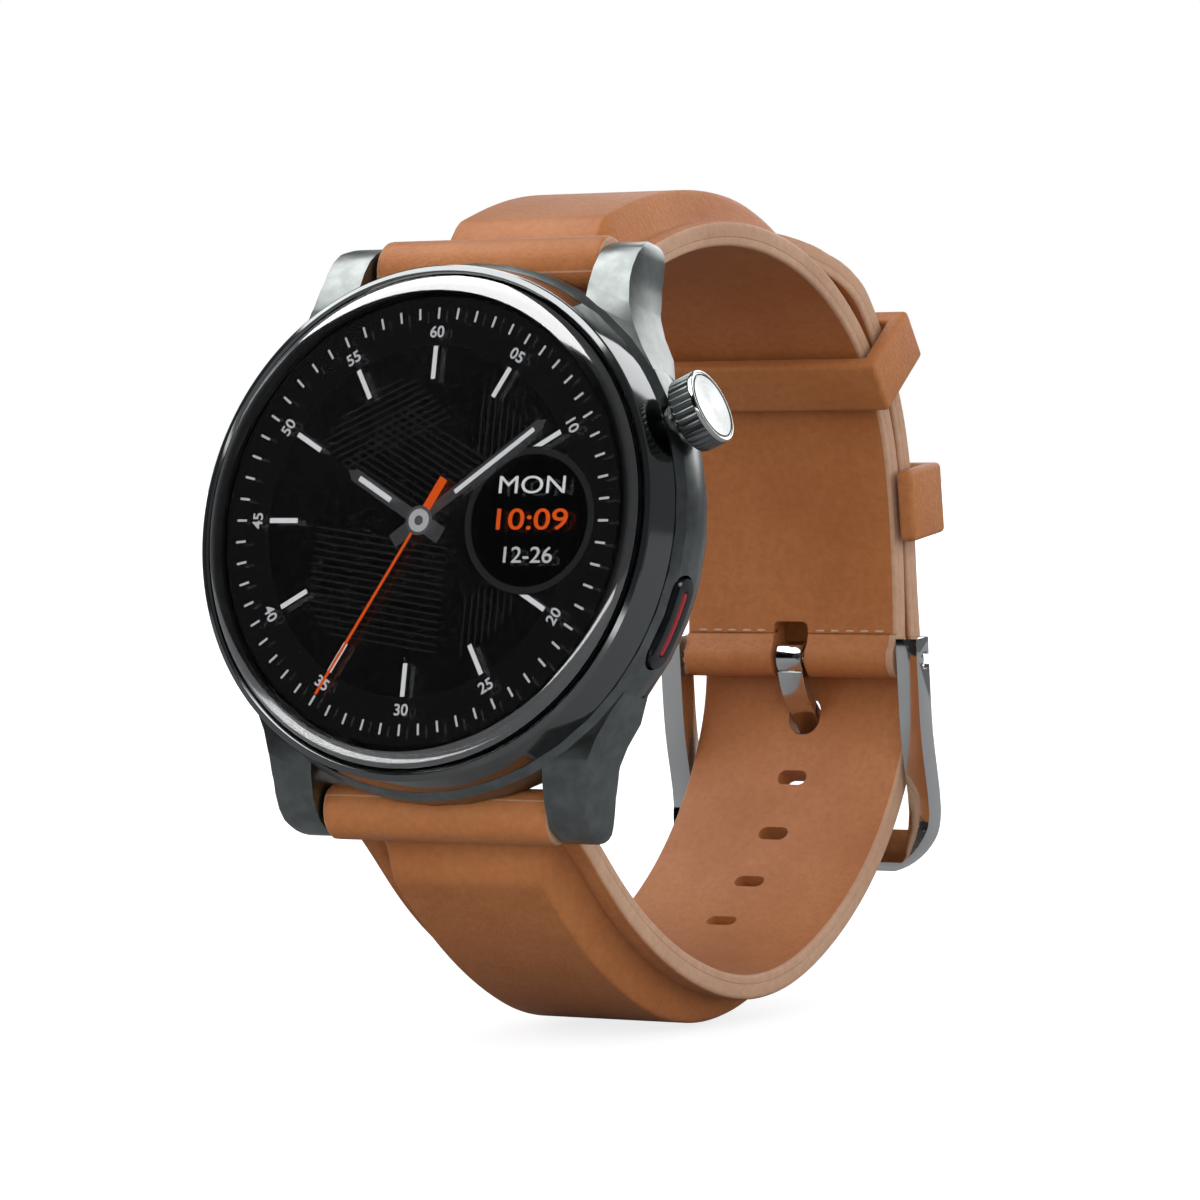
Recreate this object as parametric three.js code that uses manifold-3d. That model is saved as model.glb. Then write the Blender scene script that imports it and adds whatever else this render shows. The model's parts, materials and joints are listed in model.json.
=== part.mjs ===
// A round smartwatch on a leather strap that is buckled into its wrist loop.
//
// Millimetres. Pieces are drawn in the watch's own frame, and the whole watch is then leaned back:
//   X points to 3 o'clock, Z to 12 o'clock, Y into the watch, from the glass towards the wrist.
//   The display's lit face lies at Y = 0. Straps are drawn in the (Y, Z) plane and extruded along X.
import * as THREE from "three";
import { mergeVertices } from "three/addons/utils/BufferGeometryUtils.js";
import Module from "manifold-3d";

const wasm = await Module();
wasm.setup();

// ---------------------------------------------------------------------------------------------------------
// Driving dimensions
// ---------------------------------------------------------------------------------------------------------

const leanBack = 12; // degrees that 12 o'clock leans away from the viewer

const seat = 0.12; // gap between two pieces that rest on each other
const running = 0.1; // gap round a piece that slides or turns
const past = 1; // how far a cut runs beyond the face that it opens
const hair = 0.001; // keeps the two arcs of a round end apart
const rounds = 40; // facets of a large round piece
const capRounds = 48; // facets of the crown's end
const middleRounds = 32; // facets of the motor and the strap rolls
const foldRounds = 28; // facets of the fold round the buckle bar
const ringRounds = 24; // facets of the tongue's ring
const shaftRounds = 16;
const smallRounds = 14; // facets of a pin or a screw
const screwRounds = 12;
const slotRounds = 8;

const glass = { radius: 20.8, front: -1.2, thickness: 1.05, roundWidth: 1.7, edgeDrop: 0.75, edgeSteps: 5 };
const gasket = { width: 1.2, thickness: 0.45 };
const display = { inset: 1.7, thickness: 1.3 }; // inset from the edge of the glass
const flex = { width: 7, thickness: 0.25, inset: 3, flange: 1.2 };
const bezel = { wall: 1.5, front: -0.3, depth: 3.5, chamfer: 0.32 };
const midCase = { swell: 0.6, wall: 3.0, depth: 5.3, lipDepth: 0.75, lipWidth: 0.5, backTaper: 1.1 };
const caseFrontInset = 0.1;
// How the side of the case curves: [inwards of its widest, behind its front edge].
const caseCurve = [[0.12, 0.8], [0, 2.2], [0.05, 3.4]];
const caseBackCorner = { inward: 0.4, ahead: 0.6 };
const backSeal = { width: 0.9, thickness: 0.35 };
const backCover = { thickness: 1.1, domeRadius: 13.4, domeRise: 0.75, domeSlope: 1.0 };
const coverRim = { width: 0.8, drop: 0.6 };
const sensorWindow = { radius: 8.5, ledge: 1.3, seatDepth: 0.95, proud: 0.55, edgeRound: 0.5 };
// Where the window's rounded edge starts and ends, in parts of its round.
const windowEdge = { shoulder: 0.3, top: 1.2 };
const sensorBoard = { thickness: 0.7, below: 0.3 };
const emitter = { size: 2.4, thickness: 0.25 };
const detector = { size: 1.92, spacing: 3.6 };
const contact = { radius: 0.9, spacing: 4.4, offset: 10.7, proud: 0.06, length: 2.6 };
const screw = {
  headRadius: 1.15,
  headDepth: 0.55,
  shankRadius: 0.5,
  length: 3.6,
  inset: 1.1,
  slotWidth: 0.35,
  slotDepth: 0.3,
  slotReach: 0.805,
};

const chassis = { plate: 0.7, wall: 2.0, depth: 6.6, bossRadius: 1.55, bossSkin: 1, overlap: 0.2 };
// Room left in the chassis round the flex, the crown tube and the press switches.
const chassisRoom = { flexSide: 0.5, flexEdge: 0.3, tube: 0.6, tubeHeight: 0.4 };
const switchRoom = { side: 0.2, end: 0.6, stem: 1.2 };
const battery = { width: 20, height: 24, thickness: 3.3, corner: 2, centreX: 1.2, below: 0.3 };
const mainBoard = { thickness: 0.8, clearance: 0.25 };
const shield = { size: 12, thickness: 0.9, corner: 0.6 };
const motor = { radius: 3.6, thickness: 2.6, wall: 0.3, baseThickness: 0.3, shaftRadius: 0.35, gap: 0.5 };
const rotor = { hubRadius: 1.1, hubRise: 0.3, boreStart: 0.4, shaftStart: 0.6 };

const strap = { width: 22, thickness: 2.2, lining: 0.8, sideGap: 0.3 };
const roll = { radius: 2.4 };
const bar = { radius: 0.8, pinRadius: 0.42, y: 8.7, outsideCase: 0.8, pinReach: 1.2, pinOverlap: 3.4 };
const barTubeEnd = 0.9; // how far the bar's tube stops short of the lugs
const lever = { radius: 0.34, length: 3.3, x: 8.2, travel: 1.4, turn: -18, pinTail: 0.6, boreTail: 2.2 };
const leverCut = { spare: 2, spots: 4 };
const lug = { width: 3.7, flare: 3.6, tipRadius: 1.65, top: 4.0, shoulder: 19, root: 10 };
// A lug in the face: its rounded outer corner, and how it sweeps into the case.
const lugCorner = { inward: 1.2, down: 1.6, waist: 0.1, flareRise: 4.2 };
// A lug in the side view: the pulls of the curves from its shoulder round the tip and back under.
const lugProfile = {
  pullBack: 0.7,
  pullOut: 0.4,
  brow: 1.0,
  browDrop: 0.35,
  tipFlat: 0.3,
  underPull: 2.5,
  under: 5,
};

const crown = { angle: 24, y: 5, radius: 3.25, length: 2.5, travel: 0.45, ridges: 30, ridgeDepth: 0.22 };
const crownCap = { radius: 2.85, depth: 0.35, stemShort: 1.2 };
// Inner ends of the stems and of the crown tube are given from the bore of the mid-case, inwards.
const crownStem = { radius: 0.9, tubeWall: 0.6, inside: 1.4, tubeInside: 1.0, tubeShort: 0.4 };
const crownSeal = { width: 0.45, length: 0.7 };
const plunger = { radius: 1.3, length: 0.9 };
const tactSwitch = { length: 2.0, width: 3.0, height: 2.1, spare: 0.15 };

const button = { angle: -19.3, y: 5.3, length: 7.9, width: 2.3, proud: 0.25, depth: 1.9, travel: 0.4 };
const buttonPocket = { gap: 0.22, spare: 0.2 };
const buttonGrooveFloor = 0.6; // from the cap's inner face
const accent = { length: 5.5, width: 0.5, depth: 0.45, proud: 0.03 };
const buttonStem = { radius: 0.6, inside: 1.8 };
const buttonSeal = { width: 0.4, length: 0.5 };

// Straps, along the face that touches the wrist: each bend is [length, turn in degrees].
const upperRoute = { heading: 23, bends: [[8, 7.5], [24, -34.5], [14, -25.5], [14, -39], [17.5, -13]] };
const lowerRoute = { heading: -21, bends: [[8, -13.5], [24, 32], [16, 34.5]] };
const routeStep = 2.6; // longest stretch between two points of a route
const stationGap = 0.05; // stations closer than this are one
const bridgePull = 0.36; // how far a joining curve holds its first heading, in parts of its span
const pad = { width: 16.4, rise: 2.8, from: 2.6, full: 8, fadeFrom: 26, fadeTo: 54, skin: 1.0, sink: 0.02 };
const padCore = { width: 13, to: 34 }; // the filling, which stops before the padding has faded
const holes = { length: 3.0, width: 1.5, pitch: 6.3, before: 4, after: 2, usedLength: 3.3, usedWidth: 3.5 };
const tail = { gap: 0.35, tipStation: 37, tipRound: 9, startShort: 6 };
const holeCut = { depth: 8, below: 3, segments: 2 };
const tipCut = { depth: 14, reach: 2.5, inset: 0.1, segments: 10 };
const rollSpare = { lining: 0.4, fold: 0.5 }; // how far a layer stops from a roll

const buckleBar = { radius: 0.8, overhang: 1.0 };
const buckleRoll = { radius: 1.85, depth: 1.05 };
const frameArm = { gap: 0.45, width: 2.1, thickness: 2.5, steps: 12 };
const frameEdge = { corner: 5.2, near: -3, far: 19.9, depth: 20, segments: 6 };
const frameFront = { width: 3.4, ofLength: 22, steps: 3 }; // the front bar, as a part of the path's length
const framePath = [[-2.0, -0.75], [0, -0.5], [6.8, 0.6], [12.6, 2.3], [15.6, 2.5], [19.3, 1.1]];
const tongue = { width: 2.6, thickness: 1.05, ringRadius: 1.6, steps: 16 };
const tongueCut = { gap: 0.5, length: 6.4, beyond: 4, rise: 5 };
const tonguePath = [[1.1, -0.7], [3.5, 0.5], [5.9, 3.15], [8.2, 5.0], [12.8, 5.3], [16.5, 4.5], [19.0, 3.4]];
const tongueCrossing = tonguePath[2]; // where the tongue passes the middle of the lower strap
const crossingTurn = 17; // degrees between the two straps there

const keeperLeather = 1.6;
const keeperGap = 0.45;
const freeKeeper = { station: 50.4, width: 5.2 };
const fixedKeeper = { station: 63.4, width: 6.6, legStop: 0.2 };

// ---------------------------------------------------------------------------------------------------------
// Sizes that follow
// ---------------------------------------------------------------------------------------------------------

const glassBack = glass.front + glass.thickness;
const gasketBack = glassBack + seat + gasket.thickness;
const ledgeFront = gasketBack + seat;
const bezelRadius = glass.radius + seat + bezel.wall;
const bezelBack = bezel.front + bezel.depth;
const caseRadius = bezelRadius + midCase.swell;
const caseBore = caseRadius - midCase.wall;
const caseFront = bezelBack + seat;
const coverLedge = caseFront + midCase.depth;
const coverFront = coverLedge + 2 * seat + backSeal.thickness;
const coverBack = coverFront + backCover.thickness;
const coverRadius = caseRadius - midCase.backTaper - midCase.lipWidth - seat;
const domeBack = coverBack + backCover.domeRise;
const windowSeat = domeBack - sensorWindow.seatDepth;
const windowBack = domeBack + sensorWindow.proud;
const chassisFront = display.thickness + seat;
const chassisPlateBack = chassisFront + chassis.plate;
const displayRadius = glass.radius - display.inset;
const chassisRadius = displayRadius + seat;
const screwCircle = chassisRadius - screw.inset;
const flexZ = -(chassisRadius - flex.inset);
const batteryBack = chassisPlateBack + battery.below + battery.thickness;
const lowestSwitch = Math.max(crown.y, button.y) + tactSwitch.height / 2;
const boardFront = Math.max(batteryBack, lowestSwitch) + mainBoard.clearance;
const boardBack = boardFront + mainBoard.thickness;
const boardRadius = chassisRadius - chassis.wall - 3 * seat;
const barZ = caseRadius + bar.outsideCase;
const crownStemInner = caseBore - crownStem.inside;
const crownTubeInner = caseBore - crownStem.tubeInside;
const crownTubeOuter = caseRadius - crownStem.tubeShort;
const buttonStemInner = caseBore - buttonStem.inside;
const lugInner = strap.width / 2 + strap.sideGap;
const lugOuter = lugInner + lug.width;
const stack = 2 * strap.thickness + tail.gap;
const strapEdge = strap.width / 2;

// ---------------------------------------------------------------------------------------------------------
// Shapes and solids
// ---------------------------------------------------------------------------------------------------------

const radians = THREE.MathUtils.degToRad;

// Makes a closed geometry into a solid that manifold-3d can cut and join.
function solid(geometry) {
  const loose = geometry.index ? geometry.toNonIndexed() : geometry;
  const bare = new THREE.BufferGeometry().setAttribute("position", loose.getAttribute("position"));
  const merged = mergeVertices(bare, 1e-4);
  const points = merged.attributes.position;
  const corner = [new THREE.Vector3(), new THREE.Vector3(), new THREE.Vector3()];
  const triangles = [];
  let volume = 0;
  for (let i = 0; i < merged.index.count; i += 3) {
    const [a, b, c] = [0, 1, 2].map((k) => merged.index.getX(i + k));
    if (a === b || b === c || c === a) continue; // a triangle that closes up at a pole
    [a, b, c].forEach((at, k) => corner[k].fromBufferAttribute(points, at));
    volume += corner[0].dot(corner[1].clone().cross(corner[2]));
    triangles.push([a, b, c]);
  }
  const outward = volume < 0 ? triangles.map(([a, b, c]) => [a, c, b]) : triangles;
  return new wasm.Manifold(
    new wasm.Mesh({
      numProp: 3,
      vertProperties: new Float32Array(points.array),
      triVerts: new Uint32Array(outward.flat()),
    }),
  );
}

function geometryOf(body) {
  const { vertProperties, triVerts } = body.getMesh();
  const geometry = new THREE.BufferGeometry();
  geometry.setAttribute("position", new THREE.BufferAttribute(vertProperties, 3));
  geometry.setIndex(new THREE.BufferAttribute(triVerts, 1));
  geometry.computeVertexNormals();
  return geometry;
}

const joined = (...bodies) => bodies.reduce((a, b) => a.add(b));
const placed = (body, matrix) => body.transform(matrix.elements);
const moved = (body, x, y, z) => placed(body, new THREE.Matrix4().makeTranslation(x, y, z));

// A closed outline from points, each [across, up].
const outline = (points) => new THREE.Shape(points.map(([a, b]) => new THREE.Vector2(a, b)));

// A solid of revolution about the watch axis, Y, from [radius, y] points.
function turned(profile, segments = rounds) {
  const points = profile.map(([r, y]) => new THREE.Vector2(r, y));
  const solidMiddle = profile[0][0] === 0;
  if (!solidMiddle) points.push(points[0].clone());
  return solid(new THREE.LatheGeometry(points, segments));
}

const disc = (radius, y0, y1, segments) => turned([[0, y0], [radius, y0], [radius, y1], [0, y1]], segments);

function ring(inner, outer, y0, y1, segments) {
  return turned([[inner, y0], [outer, y0], [outer, y1], [inner, y1]], segments);
}

function extruded(shape, depth, curveSegments = 5) {
  return new THREE.ExtrudeGeometry(shape, { depth, bevelEnabled: false, curveSegments });
}

// An outline in the watch's face, (X, Z), run from y0 back to y1.
function slab(shape, y0, y1) {
  const across = new THREE.Vector3(1, 0, 0);
  const up = new THREE.Vector3(0, 0, 1);
  const forward = new THREE.Vector3(0, -1, 0);
  const geometry = extruded(shape, y1 - y0);
  geometry.applyMatrix4(new THREE.Matrix4().makeBasis(across, up, forward).setPosition(0, y1, 0));
  return solid(geometry);
}

// An outline in the side view, (Y, Z), run from x0 across to x1.
function sidePlate(shape, x0, x1) {
  const geometry = extruded(shape, x1 - x0);
  const [x, y, z] = [new THREE.Vector3(1, 0, 0), new THREE.Vector3(0, 1, 0), new THREE.Vector3(0, 0, 1)];
  geometry.applyMatrix4(new THREE.Matrix4().makeBasis(y, z, x).setPosition(x0, 0, 0));
  return solid(geometry);
}

// A round rod between two points.
function rod(from, to, radius, segments = smallRounds) {
  const a = new THREE.Vector3(...from);
  const b = new THREE.Vector3(...to);
  const along = b.clone().sub(a);
  const turn = new THREE.Quaternion().setFromUnitVectors(
    new THREE.Vector3(0, 1, 0),
    along.clone().normalize(),
  );
  const geometry = new THREE.CylinderGeometry(radius, radius, along.length(), segments);
  const middle = a.add(b).multiplyScalar(0.5);
  geometry.applyMatrix4(new THREE.Matrix4().compose(middle, turn, new THREE.Vector3(1, 1, 1)));
  return solid(geometry);
}

// A box from its lowest to its highest corner.
function box(low, high) {
  const size = high.map((value, i) => value - low[i]);
  const middle = high.map((value, i) => (value + low[i]) / 2);
  const geometry = new THREE.BoxGeometry(...size);
  geometry.translate(...middle);
  return solid(geometry);
}

function roundedRectangle(width, height, corner) {
  const shape = new THREE.Shape();
  const [w, h] = [width / 2, height / 2];
  shape.moveTo(-w + corner, -h);
  shape.lineTo(w - corner, -h);
  shape.absarc(w - corner, -h + corner, corner, -Math.PI / 2, 0);
  shape.absarc(w - corner, h - corner, corner, 0, Math.PI / 2);
  shape.absarc(-w + corner, h - corner, corner, Math.PI / 2, Math.PI);
  shape.absarc(-w + corner, -h + corner, corner, Math.PI, 1.5 * Math.PI);
  return shape;
}

// A frame whose X runs outwards at a clock angle above 3 o'clock, at a depth y.
function outwards(angle, y) {
  const turn = new THREE.Matrix4().makeRotationY(-radians(angle));
  return new THREE.Matrix4().makeTranslation(0, y, 0).multiply(turn);
}

const watch = new THREE.Group();

function add(name, body, color, roughness, metalness) {
  const material = new THREE.MeshStandardMaterial({ color, roughness, metalness });
  const mesh = new THREE.Mesh(geometryOf(body), material);
  mesh.name = name;
  watch.add(mesh);
}

const gunmetal = [0x4d5354, 0.35, 1];
const darkMetal = [0x1c1d1f, 0.18, 1];
const steel = [0xc9c9c6, 0.15, 1];
const blackPlastic = [0x101113, 0.45, 0];
const rubber = [0x18191a, 0.8, 0];
const boardGreen = [0x17402c, 0.5, 0];
const tin = [0xb4b6b5, 0.3, 1];
const tan = [0x9a5a33, 0.55, 0];
const paleTan = [0xb07a55, 0.7, 0];

// ---------------------------------------------------------------------------------------------------------
// Front: glass, gasket, display, bezel
// ---------------------------------------------------------------------------------------------------------

function coverGlass() {
  const profile = [[0, glassBack], [glass.radius, glassBack]];
  for (let i = 0; i <= glass.edgeSteps; i += 1) {
    const turn = (i / glass.edgeSteps) * (Math.PI / 2);
    const inward = glass.roundWidth * (1 - Math.cos(turn));
    profile.push([glass.radius - inward, glass.front + glass.edgeDrop * (1 - Math.sin(turn))]);
  }
  profile.push([0, glass.front]);
  return turned(profile);
}

function bezelRing() {
  const wallBore = glass.radius + seat;
  const ledgeBore = chassisRadius + seat;
  return turned([
    [ledgeBore, ledgeFront],
    [wallBore, ledgeFront],
    [wallBore, bezel.front + bezel.chamfer / 2],
    [wallBore + bezel.chamfer / 2, bezel.front],
    [bezelRadius - bezel.chamfer, bezel.front],
    [bezelRadius, bezel.front + bezel.chamfer],
    [bezelRadius, bezelBack],
    [ledgeBore, bezelBack],
  ]);
}

function displayFlex() {
  const [half, web] = [flex.width / 2, flex.thickness / 2];
  const flange = [
    [-half, chassisFront + seat, flexZ - flex.flange / 2],
    [half, chassisFront + seat + flex.thickness, flexZ + flex.flange / 2],
  ];
  const run = [
    [-half, chassisFront + seat, flexZ - web],
    [half, boardFront - seat, flexZ + web],
  ];
  return joined(box(...flange), box(...run));
}

add("cover_glass", coverGlass(), 0x0a0b0d, 0.05, 0);
add(
  "glass_gasket",
  ring(glass.radius - gasket.width, glass.radius - seat, glassBack + seat, gasketBack),
  ...rubber,
);
add("bezel_ring", bezelRing(), ...darkMetal);
add("display_panel", disc(displayRadius, 0, display.thickness), 0x050506, 0.3, 0);
add("display_flex", displayFlex(), 0xb5651d, 0.5, 0);

// ---------------------------------------------------------------------------------------------------------
// Mid-case with its lugs, and what passes through its wall
// ---------------------------------------------------------------------------------------------------------

// One lug's outline in the face: it flares out of the round case and narrows to its tip.
function lugFace(sideX, sideZ) {
  const tip = barZ + lug.tipRadius;
  const flareZ = Math.sqrt(caseRadius ** 2 - (lugOuter + lug.flare) ** 2);
  const shape = new THREE.Shape();
  shape.moveTo(sideX * lugInner, sideZ * lug.root);
  shape.lineTo(sideX * lugInner, sideZ * tip);
  shape.lineTo(sideX * (lugOuter - lugCorner.inward), sideZ * tip);
  shape.quadraticCurveTo(
    sideX * lugOuter,
    sideZ * tip,
    sideX * lugOuter,
    sideZ * (tip - lugCorner.down),
  );
  shape.quadraticCurveTo(
    sideX * (lugOuter - lugCorner.waist),
    sideZ * (flareZ + lugCorner.flareRise),
    sideX * (lugOuter + lug.flare),
    sideZ * flareZ,
  );
  shape.lineTo(sideX * lugOuter, sideZ * lug.root);
  return shape;
}

// Its outline in the side view: the top curves down and back to a round tip about the bar.
function lugSide(sideZ) {
  const tip = barZ + lug.tipRadius;
  const back = coverLedge + midCase.lipDepth;
  const shape = new THREE.Shape();
  shape.moveTo(lug.top, sideZ * lug.root);
  shape.lineTo(lug.top, sideZ * lug.shoulder);
  const bend = (y0, z0, y1, z1) => shape.quadraticCurveTo(y0, sideZ * z0, y1, sideZ * z1);
  const { pullBack, pullOut, brow, browDrop, tipFlat, underPull, under } = lugProfile;
  const tipBack = bar.y + lug.tipRadius;
  bend(lug.top + pullBack, barZ + pullOut, bar.y - brow, tip - browDrop);
  bend(bar.y - tipFlat, tip, bar.y + tipFlat, tip);
  bend(tipBack, tip, tipBack, barZ);
  bend(tipBack, barZ - underPull, back, barZ - under);
  shape.lineTo(back, sideZ * lug.root);
  return shape;
}

const lugPairs = [-1, 1].flatMap((sideX) => [-1, 1].map((sideZ) => [sideX, sideZ]));

function lugs() {
  return lugPairs.map(([sideX, sideZ]) => {
    const xs = [sideX * lugInner, sideX * (lugOuter + lug.flare + past)].sort((a, b) => a - b);
    return slab(lugFace(sideX, sideZ), 0, coverBack + 3 * past).intersect(sidePlate(lugSide(sideZ), ...xs));
  });
}

// A pill-shaped bar along Z in an outwards() frame, from one radius to another.
function pill(length, width, from, to) {
  const shape = roundedRectangle(length, width, width / 2 - hair);
  const geometry = extruded(shape, to - from, 4);
  const [x, y, z] = [new THREE.Vector3(1, 0, 0), new THREE.Vector3(0, 1, 0), new THREE.Vector3(0, 0, 1)];
  geometry.applyMatrix4(new THREE.Matrix4().makeBasis(z.negate(), y, x).setPosition(from, 0, 0));
  return solid(geometry);
}

const atCrown = outwards(crown.angle, crown.y);
const atButton = outwards(button.angle, button.y);
const tubeRadius = crownStem.radius + running + crownStem.tubeWall;
const sealBore = crownStem.radius + crownSeal.width + 2 * running;
const pocketFloor = caseRadius - button.depth - buttonPocket.spare - button.travel;
const buttonSealBore = buttonStem.radius + buttonSeal.width + 2 * running;

function midCaseBody() {
  const back = coverLedge + midCase.lipDepth;
  const lipRadius = coverRadius + seat;
  const shell = turned([
    [caseBore, caseFront],
    [bezelRadius - caseFrontInset, caseFront],
    ...caseCurve.map(([inward, behind]) => [caseRadius - inward, caseFront + behind]),
    [caseRadius - caseBackCorner.inward, coverLedge - caseBackCorner.ahead],
    [caseRadius - midCase.backTaper, back],
    [lipRadius, back],
    [lipRadius, coverLedge],
    [caseBore, coverLedge],
  ]);
  const insideBore = disc(caseBore, caseFront - 5 * past, coverBack + 5 * past);
  const coverWell = disc(lipRadius, coverLedge, coverBack + 5 * past);
  const rollRoom = [-1, 1].map((side) => {
    const [y, z] = [bar.y, side * barZ];
    return rod([-lugInner, y, z], [lugInner, y, z], roll.radius + 2 * seat, rounds);
  });
  const pinHoles = [-1, 1].map((side) => {
    const reach = lugInner + bar.pinReach + running;
    return rod([-reach, bar.y, side * barZ], [reach, bar.y, side * barZ], bar.pinRadius + running);
  });
  const crownHole = placed(
    rod([caseBore - 2 * past, 0, 0], [caseRadius + 2 * past, 0, 0], tubeRadius + seat),
    atCrown,
  );
  const buttonPocketCut = placed(
    joined(
      pill(
        button.length + 2 * buttonPocket.gap,
        button.width + 2 * buttonPocket.gap,
        pocketFloor,
        caseRadius + 2 * past,
      ),
      rod([caseBore - 2 * past, 0, 0], [caseRadius, 0, 0], buttonStem.radius + running),
      rod([caseBore - 2 * past, 0, 0], [caseBore + buttonSeal.length + 2 * seat, 0, 0], buttonSealBore),
    ),
    atButton,
  );
  const cuts = [insideBore, coverWell, ...rollRoom, ...pinHoles, crownHole, buttonPocketCut];
  return joined(shell, ...lugs()).subtract(joined(...cuts));
}

add("mid_case", midCaseBody(), ...gunmetal);

// ---------------------------------------------------------------------------------------------------------
// Crown: turns for ever and presses against its switch
// ---------------------------------------------------------------------------------------------------------

const crownInner = caseRadius + crown.travel + running;
const crownOuter = crownInner + crown.length;

function crownKnob() {
  const shape = new THREE.Shape();
  for (let i = 0; i < 2 * crown.ridges; i += 1) {
    const turn = (i / crown.ridges) * Math.PI;
    const radius = crown.radius - (i % 2 ? crown.ridgeDepth : 0);
    const point = [radius * Math.cos(turn), radius * Math.sin(turn)];
    if (i === 0) shape.moveTo(...point);
    else shape.lineTo(...point);
  }
  const geometry = extruded(shape, crown.length);
  geometry.applyMatrix4(new THREE.Matrix4().makeRotationY(Math.PI / 2).setPosition(crownInner, 0, 0));
  const capSeat = rod(
    [crownOuter - crownCap.depth - seat, 0, 0],
    [crownOuter + past, 0, 0],
    crownCap.radius + seat,
    capRounds,
  );
  const stemHole = rod(
    [crownInner - past, 0, 0],
    [crownOuter - crownCap.stemShort, 0, 0],
    crownStem.radius + seat,
  );
  return solid(geometry).subtract(joined(capSeat, stemHole));
}

const tubeBore = crownStem.radius + running;
const crownTube = rod([crownTubeInner, 0, 0], [crownTubeOuter, 0, 0], tubeRadius).subtract(
  joined(
    rod([crownTubeInner - past, 0, 0], [crownTubeOuter + past, 0, 0], tubeBore),
    rod(
      [crownTubeInner - past, 0, 0],
      [crownTubeInner + crownSeal.length + 2 * seat, 0, 0],
      sealBore,
    ),
  ),
);
const sealStart = crownTubeInner + seat;
const sealEnd = sealStart + crownSeal.length;
const crownSealRing = rod([sealStart, 0, 0], [sealEnd, 0, 0], sealBore - running).subtract(
  rod([sealStart - past, 0, 0], [sealEnd + past, 0, 0], tubeBore),
);
const plungerOuter = crownStemInner - seat;
const plungerInner = plungerOuter - plunger.length;

// A small press switch whose face stops a plunger after its travel.
function pressSwitch(face) {
  return box(
    [face - tactSwitch.length, -tactSwitch.height / 2, -tactSwitch.width / 2],
    [face, tactSwitch.height / 2, tactSwitch.width / 2],
  );
}

add("crown_knob", placed(crownKnob(), atCrown), ...gunmetal);
add(
  "crown_cap",
  placed(
    rod([crownOuter - crownCap.depth, 0, 0], [crownOuter, 0, 0], crownCap.radius, capRounds),
    atCrown,
  ),
  ...steel,
);
add(
  "crown_stem",
  placed(
    rod([crownStemInner, 0, 0], [crownOuter - crownCap.stemShort - seat, 0, 0], crownStem.radius),
    atCrown,
  ),
  ...steel,
);
add("crown_tube", placed(crownTube, atCrown), ...gunmetal);
add("crown_seal", placed(crownSealRing, atCrown), ...rubber);
add(
  "crown_plunger",
  placed(rod([plungerInner, 0, 0], [plungerOuter, 0, 0], plunger.radius), atCrown),
  ...tin,
);
add(
  "crown_switch",
  placed(pressSwitch(plungerInner - crown.travel - tactSwitch.spare), atCrown),
  ...blackPlastic,
);

// ---------------------------------------------------------------------------------------------------------
// Side button, with its accent line
// ---------------------------------------------------------------------------------------------------------

const buttonFace = caseRadius + button.proud;
const capInner = buttonFace - button.depth;

// A slice of the round side: what lies within a radius of the watch axis, over the button's height.
const withinRadius = (radius) => disc(radius, button.y - button.width, button.y + button.width, 2 * rounds);

function buttonCap() {
  const blank = placed(pill(button.length, button.width, capInner, buttonFace + past), atButton);
  const groove = placed(
    pill(
      accent.length + 2 * seat,
      accent.width + 2 * seat,
      capInner + buttonGrooveFloor,
      buttonFace + 2 * past,
    ),
    atButton,
  ).subtract(withinRadius(buttonFace - accent.depth - seat));
  return blank.intersect(withinRadius(buttonFace)).subtract(groove);
}

function buttonAccent() {
  const blank = placed(pill(accent.length, accent.width, capInner, buttonFace + 2 * past), atButton);
  return blank
    .intersect(withinRadius(buttonFace + accent.proud))
    .subtract(withinRadius(buttonFace - accent.depth));
}

const sealFrom = caseBore + seat;
const sealTo = sealFrom + buttonSeal.length;
const buttonSealRing = rod([sealFrom, 0, 0], [sealTo, 0, 0], buttonSealBore - running).subtract(
  rod([sealFrom - past, 0, 0], [sealTo + past, 0, 0], buttonStem.radius + running),
);

add("button_cap", buttonCap(), 0x0e0f10, 0.15, 0.2);
add("button_accent", buttonAccent(), 0xa01218, 0.4, 0);
add(
  "button_stem",
  placed(rod([buttonStemInner, 0, 0], [capInner - seat, 0, 0], buttonStem.radius), atButton),
  ...steel,
);
add("button_seal", placed(buttonSealRing, atButton), ...rubber);
add(
  "button_switch",
  placed(pressSwitch(buttonStemInner - button.travel - tactSwitch.spare), atButton),
  ...blackPlastic,
);

// ---------------------------------------------------------------------------------------------------------
// Inside: chassis, battery, boards, vibration motor
// ---------------------------------------------------------------------------------------------------------

const screwAngles = [45, 135, 225, 315];
const motorX = battery.centreX - battery.width / 2 - motor.radius - motor.gap;
const motorFront = chassisPlateBack + battery.below;

const screwSpot = (angle) => {
  return [screwCircle * Math.cos(radians(angle)), screwCircle * Math.sin(radians(angle))];
};

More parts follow.
